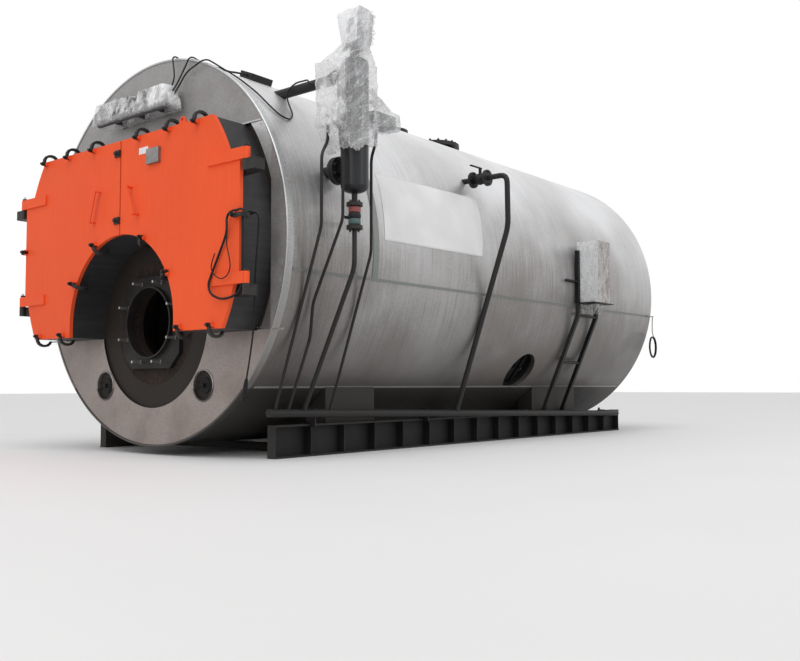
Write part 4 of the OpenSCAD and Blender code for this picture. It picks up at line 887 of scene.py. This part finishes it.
def column_wrap():
    """Film round the level column's upper part, its controls and the steam branch's end."""
    x, y, z = COLUMN
    blocks = [
        tapered((x - 0.12, y - 0.14, z + 0.57), (x + 0.112, y + 0.115, z + 0.8), (1.233, 1.33), (-0.011, -0.055)),
        tapered((x - 0.158, y - 0.238, z + 0.775), (x + 0.128, y + 0.098, z + 1.225)),
        tapered((x - 0.157, y - 0.236, z + 1.2), (x + 0.127, y + 0.097, z + 1.385), (0.5, 0.47), (0.02, 0.062)),
        tapered((x - 0.064, y - 0.062, z + 1.33), (x + 0.076, y + 0.074, z + 1.61), (1.28, 1.28), (0.002, 0)),
        tapered((x - 0.078, y - 0.07, z + 1.6), (x + 0.09, y + 0.085, z + 1.652), (0.72, 0.68), (0.01, 0.01)),
        tapered((x - 0.08, y + 0.04, z + 0.838), (x + 0.09, y + 0.4, z + 0.952), (0.94, 0.97)),
        tapered((x - 0.07, y + 0.02, z + 0.94), (x + 0.08, y + 0.37, z + 1.1), (0.8, 0.28), (0, -0.12)),
    ]
    ragged = random.Random(5)
    torn = [ragged.uniform(-0.012, 0.012) for k in range(64)]

    def below(c, n):
        """Under the torn lower edge, which rises towards the rear."""
        if c.y > y + 0.13:
            return False
        turn = math.atan2(c.y - y + 0.05, c.x - x)
        wave = 0.012 * math.sin(turn * 5) + torn[int((turn + math.pi) * 10) % 64] * 0.5
        return c.z < z + 0.598 + 0.3 * max(0, c.y - y + 0.13) + wave
    skin = film_over(blocks, 0.0075, 0.011, 7.5, below,
                     ((x - 0.168, y - 0.248, z + 0.57), (x + 0.138, y + 0.408, z + 1.658)), 3)
    flap = loose_end((x + 0.075, y + 0.07, z + 1.39), (x + 0.078, y + 0.072, z + 1.645), (0.72, 0.69, 0), 0.05)
    skin = fuse([skin, flap])
    keep(skin, "column_wrap", "film")
    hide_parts("column_film")


def manifold_wrap():
    """Film over the gauges and the switches, open underneath."""
    y, z = FRONT - 0.12, AXIS + 1.09
    blocks = [
        tapered((-0.575, y - 0.082, z - 0.05), (0.37, y + 0.086, z + 0.05), (0.99, 0.9)),
        tapered((-0.57, y - 0.08, z + 0.02), (-0.27, y + 0.08, z + 0.132), (0.86, 0.7), (0.015, 0)),
        tapered((-0.26, y - 0.08, z + 0.02), (-0.02, y + 0.075, z + 0.122), (0.62, 0.7)),
        tapered((0.0, y - 0.08, z + 0.02), (0.366, y + 0.08, z + 0.134), (0.86, 0.7), (-0.01, 0)),
    ]
    skin = film_over(blocks, 0.0075, 0.009, 10.0, lambda c, n: c.z < z - 0.04 and n.z < -0.5,
                     ((-0.618, y - 0.093, z - 0.074), (0.378, y + 0.093, z + 0.143)), 8)
    keep(skin, "manifold_wrap", "thin_film")
    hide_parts("manifold_film")


def box_wrap():
    """Clear film stuck close to the side box, gathered under it."""
    low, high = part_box("side_box")
    low, high = Vector(low), Vector(high)
    top = Vector((high.x, low.y + 0.26, high.z))
    blocks = [tapered(low - Vector((0.0005, 0.002, 0.0)), top + Vector((0.002, 0.001, 0.002))),
              tapered((low.x + 0.02, low.y + 0.05, low.z - 0.11), (low.x + 0.15, low.y + 0.2, low.z - 0.02),
                      (1.5, 1.3), (0.015, 0))]
    skin = film_over(blocks, 0.0085, 0.0028, 14.0, lambda c, n: c.x < low.x + 0.01 and n.x < -0.5,
                     ((low.x - 0.003, low.y - 0.006, low.z - 0.115), (top.x + 0.006, top.y + 0.004, top.z + 0.006)),
                     12, 1)
    keep(skin, "box_wrap", "box_film")


# Blank vinyl on the jacket and on the right door

def banner():
    work = grid(60, 30)
    for v in work.data.vertices:
        u, w = v.co.x + 0.5, v.co.y + 0.5
        y = (-1.90 + 1.34 * u) * (1 - w) + (-1.86 + 1.41 * u) * w
        low = 2.8 + 0.5 * u
        angle = low + (24.7 + 0.6 * u - low) * w
        lift = 0.0012 + 0.0012 * max(0, noise.noise(Vector((u * 9, w * 5, 1.3))))
        v.co = on_jacket(angle, y, lift)[0]
    modify(work, "SOLIDIFY", thickness=0.0008, offset=1)
    work_on(work)
    bpy.ops.object.shade_smooth()
    keep(work, "blank_banner", "banner")
    label = bevel(block((0.2865, DOOR_FACE - 0.0006, 2.2575), (0.111, 0.0012, 0.049)), 0.0005)
    keep(label, "blank_label", "banner", "right_door")


def plate_screws():
    """Corner screws of the metal plate on the right door."""
    places = [(Vector((x, DOOR_FACE - 0.024, AXIS + z)), AHEAD, 0.7) for x in (0.361, 0.483) for z in (0.592, 0.68)]
    keep(spread(RIVET, places), "plate_screws", "steel", "right_door")


# Ends of the hanging lead

def plug_detail():
    """Grip rings and pins of the plug."""
    a, b = LEAD[-1], Vector((1.231, FRONT - 0.15, AXIS - 1.137))
    along = (b - a).normalized()
    turn = along.to_track_quat("Z", "Y").to_euler()
    rings = [ring(a + along * (0.05 + k * 0.009), 0.0152, 0.0018, 32, 6, turn) for k in range(6)]
    keep(soften(fuse(rings)), "plug_grip", "rubber")
    pins = [bevel(cylinder(place, 0.0015, 0.018, 12, turn), 0.0005, limit_method="ANGLE")
            for place in around(b - along * 0.012, 0.006, 3, along)]
    keep(soften(fuse(pins)), "plug_pins", "steel")


def gland_and_boot():
    """Nut and tapered strain relief where the lead leaves the smokebox side."""
    place = Vector((1.352, FRONT - 0.2, AXIS + 0.12))
    nut = bevel(cylinder(place, 0.0165, 0.012, 6, ALONG_X), 0.001)
    boot = add("cone", vertices=32, radius1=0.011, radius2=0.0072, depth=0.022,
               location=place + Vector((0.017, 0, -0.001)), rotation=ALONG_X)
    pick(boot, lambda c, n: abs(n.x) < 0.5)
    bpy.ops.mesh.subdivide(number_cuts=3)
    done()
    keep(soften(fuse([nut, boot])), "lead_strain_relief", "rubber")


# Edges of the cladding sheets

def seam_strips():
    """Bright folded edges of the front sheets, beside the smokebox."""
    strips = [bevel(block((x, FRONT - 0.0018, AXIS + z), (width, 0.0036, 0.012)), 0.0012)
              for x, z, width in ((-1.335, -0.65, 0.262), (1.335, -0.65, 0.262), (1.09, 0.826, 0.27))]
    keep(soften(fuse(strips)), "front_seam_strips", "ring")


def lap_seams():
    """Folded lap low on each side of the jacket, where its sheets meet, in a lighter copy of the sheet finish that
    paints a highlight along the fold.
    """
    laps = []
    for side in (1, -1):
        lap = grid(120, 4)
        for v in lap.data.vertices:
            along, across = v.co.x + 0.5, v.co.y + 0.5
            rise = 0.0008 + 0.0022 * across + 0.0009 * noise.noise(Vector((along * 60, 0, side)))
            place = on_jacket(-45.2 + 0.8 * across, FRONT + 0.105 + along * 5.7, rise)[0]
            v.co = Vector((place.x * side, place.y, place.z))
        modify(lap, "SOLIDIFY", thickness=0.001, offset=-1)
        laps.append(soften(lap, 40))
    keep(fuse(laps), "jacket_lap_seams", "edge")


def lower_band():
    """Lower end of the vertical cover strip beside the column, down to the long one."""
    band = grid(2, 24)
    for v in band.data.vertices:
        v.co = on_jacket(-8.8 + 17.8 * (v.co.y + 0.5), BAND_Y + 0.065 * v.co.x, 0.0003)[0]
    modify(band, "SOLIDIFY", thickness=0.004, offset=1)
    keep(soften(band, 40), "lower_cover_band", "trim")


for make in (rivets, fasteners, pin_heads, hand_hole_rims, valve_colours, dials, column_wrap, manifold_wrap,
             box_wrap, banner, plate_screws, plug_detail, gland_and_boot, seam_strips, lap_seams, lower_band):
    make()
for model in (RIVET, BOLT):
    bpy.data.objects.remove(model)
for piece in cords:
    piece.data.materials.append(MATERIALS["rubber"].material)


# Floor, light and background

WORLD_LIGHT = 0.4
WORLD_SEEN = 1.0


def make_stage():
    bpy.ops.object.select_all(action="DESELECT")
    bpy.ops.mesh.primitive_plane_add(size=120, location=(0, 0, 0))
    floor = bpy.context.object
    floor.name = "floor"
    f = Finish("floor_pale", Roughness=0.75)
    f.set(Base_Color=f.mix(f.noise(0.8, 3), (0.8, 0.8, 0.8), (0.84, 0.84, 0.84)))
    floor.data.materials.append(f.material)

    def lamp(name, kind, place, towards, size, power):
        light = bpy.data.objects.new(name, bpy.data.lights.new(name, kind))
        bpy.context.scene.collection.objects.link(light)
        if kind == "SUN":
            light.data.angle = size
        else:
            light.data.shape = "DISK"
            light.data.size = size
        light.data.energy = power
        light.location = place
        light.rotation_euler = (Vector(towards) - Vector(place)).to_track_quat("-Z", "Y").to_euler()

    lamp("sky_light", "SUN", (4, -5, 14), (0, 0, 1), math.radians(50), 1.35)
    lamp("front_light", "AREA", (2.5, -13, 6), (0, -2, 1.4), 7, 250)
    lamp("side_light", "AREA", (13, 1, 7), (0, 0, 1.6), 7, 260)

    world = bpy.data.worlds.new("studio")
    bpy.context.scene.world = world
    world.use_nodes = True
    nodes, links = world.node_tree.nodes, world.node_tree.links
    back = nodes["Background"]
    path = nodes.new("ShaderNodeLightPath")
    seen = nodes.new("ShaderNodeMath")
    seen.operation = "MAXIMUM"
    links.new(path.outputs["Is Camera Ray"], seen.inputs[0])
    shine = nodes.new("ShaderNodeMath")
    shine.operation = "MAXIMUM"
    links.new(path.outputs["Is Glossy Ray"], shine.inputs[0])
    links.new(path.outputs["Is Transmission Ray"], shine.inputs[1])
    links.new(shine.outputs[0], seen.inputs[1])
    strength = nodes.new("ShaderNodeMapRange")
    links.new(seen.outputs[0], strength.inputs[0])
    strength.inputs[3].default_value = WORLD_LIGHT
    strength.inputs[4].default_value = WORLD_SEEN
    back.inputs["Color"].default_value = (1, 1, 1, 1)
    links.new(strength.outputs[0], back.inputs["Strength"])


make_stage()
bpy.context.scene.view_settings.view_transform = "Standard"
